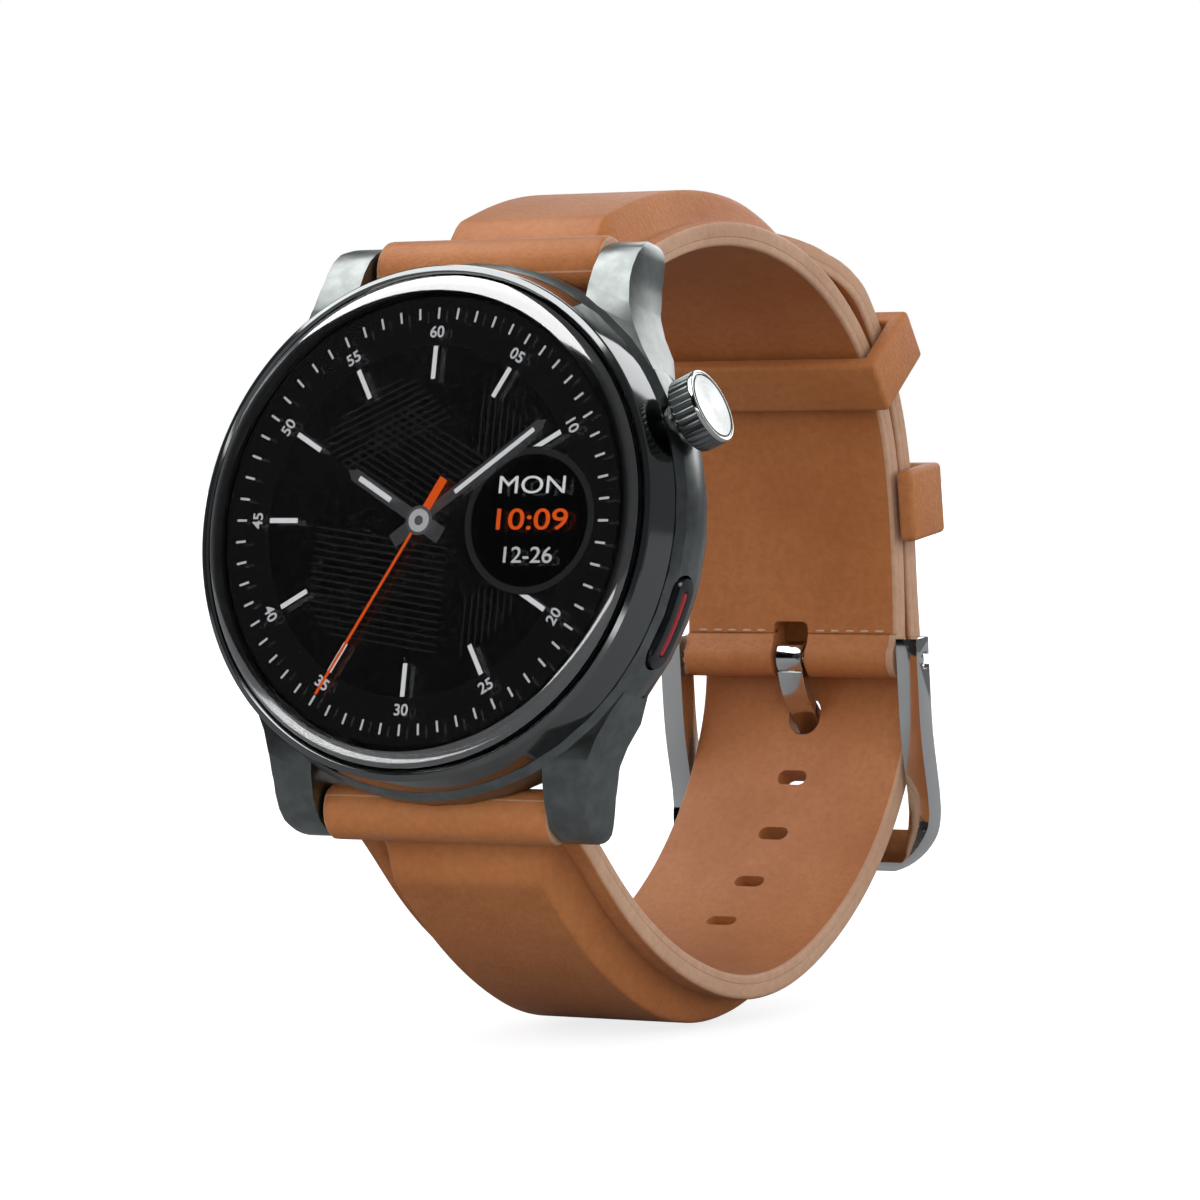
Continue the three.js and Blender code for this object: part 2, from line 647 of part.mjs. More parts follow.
function chassisBody() {
  const back = chassisPlateBack + chassis.depth - chassis.plate;
  const wallBore = chassisRadius - chassis.wall;
  const plate = disc(chassisRadius, chassisFront, chassisPlateBack);
  const wall = ring(wallBore, chassisRadius, chassisPlateBack - chassis.overlap, back);
  const bosses = screwAngles.map((angle) => {
    const [x, z] = screwSpot(angle);
    return rod([x, caseFront + seat, z], [x, back, z], chassis.bossRadius);
  });
  const screwHoles = screwAngles.map((angle) => {
    const [x, z] = screwSpot(angle);
    return rod([x, caseFront + chassis.bossSkin, z], [x, back + past, z], screw.shankRadius + seat);
  });
  const half = flex.width / 2 + chassisRoom.flexSide;
  const slotHalf = flex.flange / 2 + chassisRoom.flexEdge;
  const flexSlot = box(
    [-half, chassisFront - past, flexZ - slotHalf],
    [half, chassisPlateBack + past, flexZ + slotHalf],
  );
  const tubeHalf = tubeRadius + chassisRoom.tube;
  const room = (rise) => {
    return box([wallBore - 2 * past, -rise, -tubeHalf], [chassisRadius + 2 * past, rise, tubeHalf]);
  };
  const crownRoom = placed(room(tubeRadius + chassisRoom.tubeHeight), atCrown);
  const buttonRoom = placed(room(tubeRadius), atButton);
  const switchRooms = [
    placed(pressSwitchRoom(plungerInner), atCrown),
    placed(pressSwitchRoom(buttonStemInner), atButton),
  ];
  return joined(plate, wall, ...bosses).subtract(
    joined(...screwHoles, flexSlot, crownRoom, buttonRoom, ...switchRooms),
  );
}

// The space in the chassis for a switch and the end that presses it.
function pressSwitchRoom(outer) {
  const [h, w] = [tactSwitch.height / 2 + switchRoom.side, tactSwitch.width / 2 + switchRoom.side];
  const inner = outer - crown.travel - tactSwitch.length - switchRoom.end;
  return box([inner, -h, -w], [outer + switchRoom.stem, h, w]);
}

// The main board, notched round the chassis's screw bosses.
function mainBoardBody() {
  const notches = screwAngles.map((angle) => {
    const [x, z] = screwSpot(angle);
    return rod([x, boardFront - past, z], [x, boardBack + past, z], chassis.bossRadius + 2 * seat);
  });
  return disc(boardRadius, boardFront, boardBack).subtract(joined(...notches));
}

function motorCan() {
  const back = motorFront + motor.thickness;
  const can = turned(
    [
      [0, motorFront],
      [motor.radius, motorFront],
      [motor.radius, back - motor.baseThickness - seat],
      [motor.radius - motor.wall, back - motor.baseThickness - seat],
      [motor.radius - motor.wall, motorFront + motor.wall],
      [0, motorFront + motor.wall],
    ],
    middleRounds,
  );
  return moved(can, motorX, 0, 0);
}

// The eccentric weight: half a disc on the motor's shaft.
function motorRotor() {
  const front = motorFront + motor.wall + seat;
  const back = motorFront + motor.thickness - motor.baseThickness - 3 * seat;
  const weightRadius = motor.radius - motor.wall - 2 * seat;
  const reach = weightRadius + past;
  const half = box([-reach, front - past, -reach], [reach, back + past, 0]);
  const weight = disc(weightRadius, front + rotor.hubRise, back, middleRounds).intersect(half);
  const hub = disc(rotor.hubRadius, front, back, middleRounds);
  const bore = disc(motor.shaftRadius + running, front + rotor.boreStart, back + past, shaftRounds);
  return moved(joined(weight, hub).subtract(bore), motorX, 0, 0);
}

function motorBase() {
  const back = motorFront + motor.thickness;
  const plate = disc(motor.radius, back - motor.baseThickness, back, middleRounds);
  const shaft = disc(motor.shaftRadius, motorFront + motor.wall + rotor.shaftStart, back, shaftRounds);
  return moved(joined(plate, shaft), motorX, 0, 0);
}

function batteryBody() {
  const face = roundedRectangle(battery.width, battery.height, battery.corner);
  return moved(slab(face, batteryBack - battery.thickness, batteryBack), battery.centreX, 0, 0);
}

function processorShield() {
  const front = boardBack + seat;
  const face = roundedRectangle(shield.size, shield.size, shield.corner);
  return slab(face, front, front + shield.thickness);
}

add("inner_chassis", chassisBody(), ...blackPlastic);
add("battery", batteryBody(), 0x8d9499, 0.4, 0.6);
add("main_board", mainBoardBody(), ...boardGreen);
add("processor_shield", processorShield(), ...tin);
add("motor_can", motorCan(), ...tin);
add("motor_rotor", motorRotor(), 0x6b6d70, 0.4, 1);
add("motor_base", motorBase(), ...tin);

// ---------------------------------------------------------------------------------------------------------
// Back: seal, cover, window, sensor, contacts and screws
// ---------------------------------------------------------------------------------------------------------

const holeInCover = sensorWindow.radius - sensorWindow.ledge;
const contactSpots = [-1, 1].map((side) => [(side * contact.spacing) / 2, contact.offset]);

function backCoverBody() {
  const windowBore = sensorWindow.radius + seat;
  const cover = turned([
    [holeInCover, coverFront],
    [coverRadius, coverFront],
    [coverRadius, coverBack - coverRim.drop],
    [coverRadius - coverRim.width, coverBack],
    [backCover.domeRadius, coverBack],
    [backCover.domeRadius - backCover.domeSlope, domeBack],
    [windowBore, domeBack],
    [windowBore, windowSeat],
    [holeInCover, windowSeat],
  ]);
  const contactHoles = contactSpots.map(([x, z]) => {
    return rod([x, coverFront - past, z], [x, domeBack + past, z], contact.radius + seat);
  });
  const screwHoles = screwAngles.flatMap((angle) => {
    const [x, z] = screwSpot(angle);
    return [
      rod([x, coverFront - past, z], [x, coverBack + past, z], screw.shankRadius + seat),
      rod([x, coverBack - screw.headDepth - seat, z], [x, coverBack + past, z], screw.headRadius + seat),
    ];
  });
  return cover.subtract(joined(...contactHoles, ...screwHoles));
}

function coverScrew(angle) {
  const [x, z] = screwSpot(angle);
  const head = coverBack - screw.headDepth;
  const slot = screw.slotWidth / 2;
  const arm = screw.slotReach;
  const [floor, open] = [coverBack - screw.slotDepth, coverBack + past];
  const cross = joined(
    box([x - arm, floor, z - slot], [x + arm, open, z + slot]),
    box([x - slot, floor, z - arm], [x + slot, open, z + arm]),
  );
  return joined(
    rod([x, head, z], [x, coverBack, z], screw.headRadius),
    rod([x, coverBack - screw.length, z], [x, head + running, z], screw.shankRadius, screwRounds),
  ).subtract(cross);
}

function sensorWindowBody() {
  const front = windowSeat + seat;
  const shoulder = sensorWindow.edgeRound * windowEdge.shoulder;
  return turned([
    [0, front],
    [sensorWindow.radius, front],
    [sensorWindow.radius, windowBack - sensorWindow.edgeRound],
    [sensorWindow.radius - shoulder, windowBack - shoulder],
    [sensorWindow.radius - sensorWindow.edgeRound * windowEdge.top, windowBack],
    [0, windowBack],
  ]);
}

const boardTop = windowSeat - sensorBoard.below;

function chip(x, z, size) {
  const low = [x - size / 2, boardTop + seat / 2, z - size / 2];
  return box(low, [x + size / 2, boardTop + seat / 2 + emitter.thickness, z + size / 2]);
}

add(
  "back_seal",
  ring(coverRadius - backSeal.width, coverRadius, coverLedge + seat, coverFront - seat),
  ...rubber,
);
add("back_cover", backCoverBody(), 0x17181a, 0.4, 0);
add("sensor_window", sensorWindowBody(), 0x0b0c0e, 0.08, 0);
add(
  "sensor_board",
  disc(holeInCover - 2 * seat, boardTop - sensorBoard.thickness, boardTop),
  ...boardGreen,
);
add("sensor_emitter", chip(0, 0, emitter.size), 0x39a05a, 0.4, 0);
[-1, 1].forEach((side, i) => {
  add("sensor_detector_" + (i + 1), chip(side * detector.spacing, 0, detector.size), 0x2b2b3a, 0.3, 0);
});
contactSpots.forEach(([x, z], i) => {
  const back = domeBack + contact.proud;
  const pin = rod([x, back - contact.length, z], [x, back, z], contact.radius);
  add("charge_contact_" + (i + 1), pin, 0xc9a45a, 0.3, 1);
});
screwAngles.forEach((angle, i) => add("back_cover_screw_" + (i + 1), coverScrew(angle), ...steel));

// ---------------------------------------------------------------------------------------------------------
// Spring bars that hold the straps, each with a quick-release pin
// ---------------------------------------------------------------------------------------------------------

const tubeEnd = lugInner - barTubeEnd;

function leverDirection(side) {
  const turn = radians(lever.turn);
  return [0, Math.cos(turn), side * Math.sin(turn)];
}

// The channel that the lever sweeps, from the bar's middle outwards.
function leverSlot(side, gap) {
  const [, dy, dz] = leverDirection(side);
  const reach = lever.length + leverCut.spare;
  const sweeps = Array.from({ length: leverCut.spots }, (_, i) => {
    const x = lever.x - (i / (leverCut.spots - 1)) * lever.travel;
    const end = [x, bar.y + dy * reach, side * barZ + dz * reach];
    return rod([x, bar.y, side * barZ], end, lever.radius + gap, slotRounds);
  });
  return joined(...sweeps);
}

function barTube(side) {
  const [y, z] = [bar.y, side * barZ];
  return rod([-tubeEnd, y, z], [tubeEnd, y, z], bar.radius).subtract(
    joined(
      rod([-tubeEnd - past, y, z], [-tubeEnd + bar.pinOverlap + seat, y, z], bar.pinRadius + running),
      rod([lever.x - lever.travel - lever.boreTail, y, z], [tubeEnd + past, y, z], bar.pinRadius + running),
      leverSlot(side, running),
    ),
  );
}

function releasePin(side) {
  const [y, z] = [bar.y, side * barZ];
  const [, dy, dz] = leverDirection(side);
  const pin = rod([lever.x - lever.pinTail, y, z], [lugInner + bar.pinReach, y, z], bar.pinRadius);
  const end = [lever.x, y + dy * lever.length, z + dz * lever.length];
  return joined(pin, rod([lever.x, y, z], end, lever.radius, screwRounds));
}

[["upper", 1], ["lower", -1]].forEach(([name, side]) => {
  const [y, z] = [bar.y, side * barZ];
  const fixedPin = rod([-lugInner - bar.pinReach, y, z], [-tubeEnd + bar.pinOverlap, y, z], bar.pinRadius);
  add(name + "_bar_tube", barTube(side), ...steel);
  add(name + "_bar_fixed_pin", fixedPin, ...steel);
  add(name + "_bar_release_pin", releasePin(side), ...steel);
});

// ---------------------------------------------------------------------------------------------------------
// Strap routes
// ---------------------------------------------------------------------------------------------------------

// A station of a route: where it is in (Y, Z), its heading, and how far along it lies.
const station = (y, z, heading, along) => ({ y, z, heading, along });

// Follows bends of [length, turn], left turns positive.
function bendRoute(start, bends) {
  const route = [start];
  let at = start;
  bends.forEach(([length, turn]) => {
    const steps = Math.max(1, Math.round(length / routeStep));
    const step = length / steps;
    const turnStep = radians(turn) / steps;
    for (let i = 0; i < steps; i += 1) {
      const chord = at.heading + turnStep / 2;
      const reach = turnStep ? (step * Math.sin(turnStep / 2)) / (turnStep / 2) : step;
      const [y, z] = [at.y + reach * Math.cos(chord), at.z + reach * Math.sin(chord)];
      at = station(y, z, at.heading + turnStep, at.along + step);
      route.push(at);
    }
  });
  return route;
}

// The point beside a station, `away` to the outside of the loop.
function beside({ y, z, heading }, away, side) {
  return [y - side * away * Math.sin(heading), z + side * away * Math.cos(heading)];
}

// Joins one station to another with a cubic curve, leaving out the first station itself.
function bridge(from, to) {
  const span = Math.hypot(to.y - from.y, to.z - from.z);
  const pull = span * bridgePull;
  const point = (s, k) => new THREE.Vector2(s.y + k * Math.cos(s.heading), s.z + k * Math.sin(s.heading));
  const curve = new THREE.CubicBezierCurve(point(from, 0), point(from, pull), point(to, -pull), point(to, 0));
  const steps = Math.max(2, Math.round(span / routeStep));
  const whole = curve.getLength();
  return Array.from({ length: steps }, (_, i) => {
    const u = (i + 1) / steps;
    const p = curve.getPointAt(u);
    const t = curve.getTangentAt(u);
    return station(p.x, p.y, Math.atan2(t.y, t.x), from.along + u * whole);
  });
}

// The station at a distance along a route.
function stationAt(route, along) {
  const next = Math.max(1, route.findIndex((s) => s.along >= along));
  const [a, b] = [route[next - 1], route[next]];
  const u = (along - a.along) / (b.along - a.along);
  const mix = THREE.MathUtils.lerp;
  return station(mix(a.y, b.y, u), mix(a.z, b.z, u), mix(a.heading, b.heading, u), along);
}

const rollTangent = (side, heading) => {
  const turn = radians(heading);
  const y = bar.y + side * roll.radius * Math.sin(turn);
  return station(y, side * barZ - side * roll.radius * Math.cos(turn), turn, 0);
};

const upper = bendRoute(rollTangent(1, upperRoute.heading), upperRoute.bends);
const upperEnd = upper[upper.length - 1];

// The buckle bar lies in the fold at the upper strap's end. Buckle pieces are drawn in (t, n): t along the
// strap's end and n out of the loop.
const [barY, barEndZ] = beside(upperEnd, buckleRoll.depth, 1);
const buckleAt = (t, n) => {
  const { heading } = upperEnd;
  const along = [Math.cos(heading) * t, Math.sin(heading) * t];
  return [barY + along[0] - n * Math.sin(heading), barEndZ + along[1] + n * Math.cos(heading)];
};

// The lower strap's wrist side runs from its bar, through the tongue, then outside the upper strap.
function lowerStrapRoute() {
  const first = bendRoute(rollTangent(-1, lowerRoute.heading), lowerRoute.bends);
  const crossing = buckleAt(...tongueCrossing);
  const crossingHeading = upperEnd.heading + Math.PI - radians(crossingTurn);
  const half = strap.thickness / 2;
  const through = station(
    crossing[0] - half * Math.sin(crossingHeading),
    crossing[1] + half * Math.cos(crossingHeading),
    crossingHeading,
    0,
  );
  const toHole = bridge(first[first.length - 1], through);
  const hole = toHole[toHole.length - 1];
  const covered = upper.filter((s) => {
    return s.along < upperEnd.along - tail.startShort && s.along > tail.tipStation;
  });
  const outside = covered.reverse().map((s) => {
    const [y, z] = beside(s, strap.thickness + padRise(s.along) + tail.gap, 1);
    return station(y, z, s.heading + Math.PI, 0);
  });
  const toTail = bridge(hole, outside[0]);
  const route = [...first, ...toHole, ...toTail];
  outside.slice(1).forEach((s) => {
    const before = route[route.length - 1];
    route.push({ ...s, along: before.along + Math.hypot(s.y - before.y, s.z - before.z) });
  });
  return { route, hole: hole.along };
}

// How far the padding lifts the outside of a strap, at a distance along it.
function padRise(along) {
  const grow = THREE.MathUtils.smoothstep(along, pad.from, pad.full);
  return pad.rise * grow * (1 - THREE.MathUtils.smoothstep(along, pad.fadeFrom, pad.fadeTo));
}

const { route: lower, hole: usedHole } = lowerStrapRoute();
const lowerEnd = lower[lower.length - 1];

// ---------------------------------------------------------------------------------------------------------
// Straps
// ---------------------------------------------------------------------------------------------------------

// A layer that follows a route between two distances, from one height above the wrist side to another.
function layer(route, side, width, [from, to], under, over) {
  const stations = [
    stationAt(route, from),
    ...route.filter((s) => s.along > from + stationGap && s.along < to - stationGap),
    stationAt(route, to),
  ];
  const height = (rule, s) => (typeof rule === "function" ? rule(s.along) : rule);
  const inside = stations.map((s) => beside(s, height(under, s), side));
  const outside = stations.map((s) => beside(s, height(over, s), side)).reverse();
  return sidePlate(outline([...inside, ...outside]), -width / 2, width / 2);
}

const skinFrom = strap.lining + seat;

// Outer leather: a flat strap with a padded middle, rolled round its spring bar.
function outerLeather(route, side, length) {
  const [y, z] = [bar.y, side * barZ];
  const flat = layer(route, side, strap.width, [0, length], skinFrom, strap.thickness);
  const swell = layer(
    route,
    side,
    pad.width,
    [pad.from, pad.fadeTo],
    skinFrom,
    (along) => strap.thickness + padRise(along) - pad.sink,
  );
  const rolled = rod([-strapEdge, y, z], [strapEdge, y, z], roll.radius, middleRounds);
  const barHole = rod([-strapEdge - past, y, z], [strapEdge + past, y, z], bar.radius + running);
  const pocket = layer(
    route,
    side,
    padCore.width + 2 * seat,
    [pad.full, padCore.to],
    0,
    (along) => strap.thickness + padRise(along) - pad.skin,
  );
  return joined(flat, swell, rolled).subtract(joined(barHole, pocket, leverSlot(side, 2 * running)));
}

function padding(route, side) {
  return layer(
    route,
    side,
    padCore.width,
    [pad.full + seat, padCore.to - seat],
    skinFrom,
    (along) => strap.thickness + padRise(along) - pad.skin - seat,
  );
}

// An oblong through hole at a distance along the lower strap.
function strapHole(along, length, width) {
  const at = stationAt(lower, along);
  const normal = new THREE.Vector3(0, Math.sin(at.heading), -Math.cos(at.heading));
  const across = new THREE.Vector3(1, 0, 0);
  const corner = Math.min(length, width) / 2 - hair;
  const geometry = extruded(roundedRectangle(length, width, corner), holeCut.depth, holeCut.segments);
  geometry.translate(0, 0, -holeCut.below);
  const basis = new THREE.Matrix4().makeBasis(across, normal.clone().cross(across), normal);
  geometry.applyMatrix4(basis.setPosition(0, at.y, at.z));
  return solid(geometry);
}

const holeSteps = Array.from({ length: holes.before + holes.after + 1 }, (_, i) => i - holes.before);
const strapHoles = holeSteps.map((step) => {
  const used = step === 0;
  const [length, width] = used ? [holes.usedLength, holes.usedWidth] : [holes.length, holes.width];
  return strapHole(usedHole + step * holes.pitch, length, width);
});

// What is cut off beyond the round tip of the lower strap.
function tipTrim() {
  const at = stationAt(lower, lowerEnd.along - tail.tipRound);
  const length = tail.tipRound * tipCut.reach;
  const shape = new THREE.Shape();
  shape.moveTo(-strap.width, 0);
  shape.lineTo(-strapEdge, 0);
  shape.absellipse(0, 0, strapEdge, tail.tipRound - tipCut.inset, Math.PI, 0, true);
  shape.lineTo(strap.width, 0);
  shape.lineTo(strap.width, length);
  shape.lineTo(-strap.width, length);
  const geometry = extruded(shape, tipCut.depth, tipCut.segments);
  geometry.translate(0, 0, -tipCut.depth / 2);
  const normal = new THREE.Vector3(0, Math.sin(at.heading), -Math.cos(at.heading));
  const forward = new THREE.Vector3(0, Math.cos(at.heading), Math.sin(at.heading));
  const basis = new THREE.Matrix4().makeBasis(new THREE.Vector3(1, 0, 0), forward, normal.negate());
  geometry.applyMatrix4(basis.setPosition(0, at.y, at.z));
  return solid(geometry);
}

const lowerCuts = joined(...strapHoles, tipTrim());
const liningFrom = roll.radius + rollSpare.lining;
const foldLength = buckleRoll.radius + rollSpare.fold;

// The cut in the upper strap's end for the tongue to swing in.
function tongueSlot() {
  const half = tongue.width / 2 + tongueCut.gap;
  const { length, beyond, rise } = tongueCut;
  const corners = [[-length, -rise], [beyond, -rise], [beyond, rise], [-length, rise]];
  return sidePlate(outline(corners.map(([t, n]) => buckleAt(t, n))), -half, half);
}

function upperLeather() {
  const fold = rod([-strapEdge, barY, barEndZ], [strapEdge, barY, barEndZ], buckleRoll.radius, foldRounds);
  const reach = strapEdge + past;
  const hole = rod([-reach, barY, barEndZ], [reach, barY, barEndZ], buckleBar.radius + running);
  return joined(outerLeather(upper, 1, upperEnd.along), fold).subtract(joined(hole, tongueSlot()));
}

const upperLining = layer(upper, 1, strap.width, [liningFrom, upperEnd.along - foldLength], 0, strap.lining);
const lowerLining = layer(lower, -1, strap.width, [liningFrom, lowerEnd.along], 0, strap.lining);

add("upper_strap_leather", upperLeather(), ...tan);
add("upper_strap_lining", upperLining.subtract(tongueSlot()).subtract(leverSlot(1, 2 * running)), ...paleTan);
add("upper_strap_padding", padding(upper, 1), 0xd8c9b0, 0.9, 0);
add("lower_strap_leather", outerLeather(lower, -1, lowerEnd.along).subtract(lowerCuts), ...tan);
add("lower_strap_lining", lowerLining.subtract(lowerCuts).subtract(leverSlot(-1, 2 * running)), ...paleTan);
add("lower_strap_padding", padding(lower, -1), 0xd8c9b0, 0.9, 0);

// ---------------------------------------------------------------------------------------------------------
// Keepers
// ---------------------------------------------------------------------------------------------------------

// A closed loop round both straps at a distance along the upper one.
function keeperLoop(along, width) {
  const at = stationAt(upper, along);
  const halfHole = strapEdge + keeperGap;
  const halfBand = halfHole + keeperLeather;
  const [low, high] = [-keeperGap, stack + keeperGap];
  const shape = outline([
    [-halfBand, low - keeperLeather],
    [halfBand, low - keeperLeather],
    [halfBand, high + keeperLeather],
    [-halfBand, high + keeperLeather],
  ]);
  shape.holes.push(outline([[-halfHole, low], [-halfHole, high], [halfHole, high], [halfHole, low]]));
  const geometry = extruded(shape, width);
  geometry.translate(0, 0, -width / 2);
  return { body: placed(solid(geometry), keeperFrame(at)), at };
}

function keeperFrame(at) {
  const outward = new THREE.Vector3(0, -Math.sin(at.heading), Math.cos(at.heading));
  const across = new THREE.Vector3(1, 0, 0);
  const basis = new THREE.Matrix4().makeBasis(across, outward, across.clone().cross(outward));
  return basis.setPosition(0, at.y, at.z);
}

// The fixed keeper has no inner band: its legs end beside the strap, where they are sewn in.
function fixedKeeperBody() {
  const { body, at } = keeperLoop(fixedKeeper.station, fixedKeeper.width);
  const reach = strap.width;
  const low = box([-reach, -reach, -reach], [reach, fixedKeeper.legStop, reach]);
  return body.subtract(placed(low, keeperFrame(at)));
}

add("free_keeper", keeperLoop(freeKeeper.station, freeKeeper.width).body, ...tan);
add("fixed_keeper", fixedKeeperBody(), ...tan);

// ---------------------------------------------------------------------------------------------------------
// Buckle
// ---------------------------------------------------------------------------------------------------------

// A bent strip in (t, n) about a smooth line through its points.
function bentStrip(path, thickness, steps, x0, x1, [from, to] = [0, 1]) {
  const curve = new THREE.SplineCurve(path.map(([t, n]) => new THREE.Vector2(t, n)));
  const edge = (sign) =>
    Array.from({ length: steps + 1 }, (_, i) => {
      const u = from + (to - from) * (i / steps);
      const p = curve.getPointAt(u);
      const t = curve.getTangentAt(u);
      return buckleAt(p.x - (sign * t.y * thickness) / 2, p.y + (sign * t.x * thickness) / 2);
    });
  return sidePlate(outline([...edge(-1), ...edge(1).reverse()]), x0, x1);
}

const armInner = strapEdge + frameArm.gap;
const armOuter = armInner + frameArm.width;

function buckleFrame() {
  const frontFrom = 1 - frameFront.width / frameFront.ofLength;
  const arms = [-1, 1].map((side) => {
    const xs = [side * armInner, side * armOuter].sort((a, b) => a - b);
    return bentStrip(framePath, frameArm.thickness, frameArm.steps, ...xs);
  });
  const ends = [frontFrom, 1];
  const front = bentStrip(framePath, frameArm.thickness, frameFront.steps, -armOuter, armOuter, ends);
  const reach = armOuter + past;
  const hole = rod([-reach, barY, barEndZ], [reach, barY, barEndZ], buckleBar.radius + running);
  return joined(...arms, front).intersect(buckleOutline()).subtract(hole);
}

// The frame seen square on, with its two front corners rounded.
function buckleOutline() {
  const { corner, near, far } = frameEdge;
  const [cornerX, cornerT] = [armOuter - corner, far - corner];
  const shape = new THREE.Shape();
  shape.moveTo(-armOuter, near);
  shape.lineTo(armOuter, near);
  shape.lineTo(armOuter, cornerT);
  shape.absarc(cornerX, cornerT, corner, 0, Math.PI / 2);
  shape.lineTo(-cornerX, far);
  shape.absarc(-cornerX, cornerT, corner, Math.PI / 2, Math.PI);
  const geometry = extruded(shape, frameEdge.depth, frameEdge.segments);
  geometry.translate(0, 0, -frameEdge.depth / 2);
  const [ty, tz] = [Math.cos(upperEnd.heading), Math.sin(upperEnd.heading)];
  const along = new THREE.Vector3(0, ty, tz);
  const across = new THREE.Vector3(1, 0, 0);
  const basis = new THREE.Matrix4().makeBasis(across, along, across.clone().cross(along));
  geometry.applyMatrix4(basis.setPosition(0, barY, barEndZ));
  return solid(geometry);
}

function buckleTongue() {
  const half = tongue.width / 2;
  const shank = bentStrip(tonguePath, tongue.thickness, tongue.steps, -half, half);
  const ringBody = rod([-half, barY, barEndZ], [half, barY, barEndZ], tongue.ringRadius, ringRounds);
  const reach = half + past;
  const hole = rod([-reach, barY, barEndZ], [reach, barY, barEndZ], buckleBar.radius + running);
  return joined(shank, ringBody).subtract(hole);
}

const barReach = armOuter - buckleBar.overhang / 2;

add("buckle_frame", buckleFrame(), ...steel);
add("buckle_bar", rod([-barReach, barY, barEndZ], [barReach, barY, barEndZ], buckleBar.radius), ...steel);
add("buckle_tongue", buckleTongue(), ...steel);

// ---------------------------------------------------------------------------------------------------------
// Placed: leaned back, with the origin where the wrist holds it, at the middle of the sensor window's back
// ---------------------------------------------------------------------------------------------------------

watch.rotation.x = -radians(leanBack);
watch.position.set(0, -windowBack, 0).applyEuler(watch.rotation);
const object = new THREE.Group();
object.add(watch);

export default object;
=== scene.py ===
import json
from math import atan, cos, exp, hypot, pi, radians, sin, sqrt

import bmesh
import bpy
from mathutils import Matrix, Vector

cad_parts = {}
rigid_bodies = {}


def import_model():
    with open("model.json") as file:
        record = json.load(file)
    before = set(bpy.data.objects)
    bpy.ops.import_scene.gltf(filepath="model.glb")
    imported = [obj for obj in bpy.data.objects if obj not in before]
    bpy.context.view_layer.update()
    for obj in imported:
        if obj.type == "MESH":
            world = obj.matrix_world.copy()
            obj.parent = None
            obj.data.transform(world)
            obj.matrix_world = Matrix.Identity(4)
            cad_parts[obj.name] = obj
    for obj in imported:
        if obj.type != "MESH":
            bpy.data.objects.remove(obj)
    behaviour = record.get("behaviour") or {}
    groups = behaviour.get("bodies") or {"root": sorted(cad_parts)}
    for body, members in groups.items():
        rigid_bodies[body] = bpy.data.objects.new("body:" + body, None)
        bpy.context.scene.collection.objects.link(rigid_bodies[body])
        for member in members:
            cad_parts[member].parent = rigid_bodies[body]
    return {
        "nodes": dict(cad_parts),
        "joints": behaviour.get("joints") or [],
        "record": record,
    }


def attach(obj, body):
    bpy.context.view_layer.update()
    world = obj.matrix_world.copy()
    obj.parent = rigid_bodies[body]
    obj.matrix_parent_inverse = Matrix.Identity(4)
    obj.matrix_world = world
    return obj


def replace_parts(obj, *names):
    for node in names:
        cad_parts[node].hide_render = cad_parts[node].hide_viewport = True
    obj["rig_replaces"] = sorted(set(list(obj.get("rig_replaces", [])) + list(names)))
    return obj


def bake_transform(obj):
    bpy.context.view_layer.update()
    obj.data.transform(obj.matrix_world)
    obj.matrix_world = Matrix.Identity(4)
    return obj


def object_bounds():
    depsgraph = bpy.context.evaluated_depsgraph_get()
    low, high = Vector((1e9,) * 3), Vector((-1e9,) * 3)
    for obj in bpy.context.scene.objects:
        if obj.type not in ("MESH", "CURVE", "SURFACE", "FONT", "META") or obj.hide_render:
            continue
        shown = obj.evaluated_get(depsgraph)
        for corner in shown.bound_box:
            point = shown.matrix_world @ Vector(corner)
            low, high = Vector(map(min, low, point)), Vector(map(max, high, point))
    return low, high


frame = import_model()
cad_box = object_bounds()
scene = bpy.context.scene
MM = 0.001

# ---- The watch's own axes: X to 3 o'clock, Y into the watch, Z to 12 o'clock ----

mounts = {m["name"]: m for m in frame["record"]["mounts"]}
joints = {j["name"]: j for j in frame["joints"]}
inward = Vector(mounts["wrist_contact"]["axis"]).normalized()
across = Vector((1, 0, 0))
upward = across.cross(inward)
turned_frame = Matrix((across, inward, upward)).transposed().to_4x4()
wrist_place = Vector(mounts["wrist_contact"]["pos_m"])


def node_span(name, axis):
    """Lowest and highest of a CAD node along one of the watch's axes, from the wrist contact."""
    node = frame["nodes"][name]
    back = turned_frame.inverted()
    values = [(back @ (node.matrix_world @ v.co - wrist_place))[axis] for v in node.data.vertices]
    return min(values), max(values)


display_front = node_span("display_panel", 1)[0]
# From the watch's axes, with the origin at the middle of the display's lit face, to the row frame.
WATCH = Matrix.Translation(wrist_place) @ turned_frame @ Matrix.Translation((0, display_front, 0))


def span(name, axis):
    """Lowest and highest of a CAD node along a watch axis, measured from the display's lit face."""
    low, high = node_span(name, axis)
    shift = display_front if axis == 1 else 0
    return low - shift, high - shift


# ---- Camera, light and floor ----

LENS, SENSOR = 162, 36
CAMERA_TURN, CAMERA_RISE, CAMERA_ROLL = radians(30.27), radians(-8.29), radians(5.25)
CAMERA_PLACE = Vector((236.55, -374.87, -69.75)) * MM
SCREEN = (-0.5, -0.81, 0.32)  # the way that the flat of the glass mirrors, where the room is dark
ROOM_LIGHT = 2.6  # strength of the room's soft light from the level
OVERHEAD = 0.12  # share of it that comes from straight above
ROOM_SHEEN = 0.16  # strength of the room in reflections
FLOOR_RADIUS, FLOOR_DROP = 3, 0.4 * MM


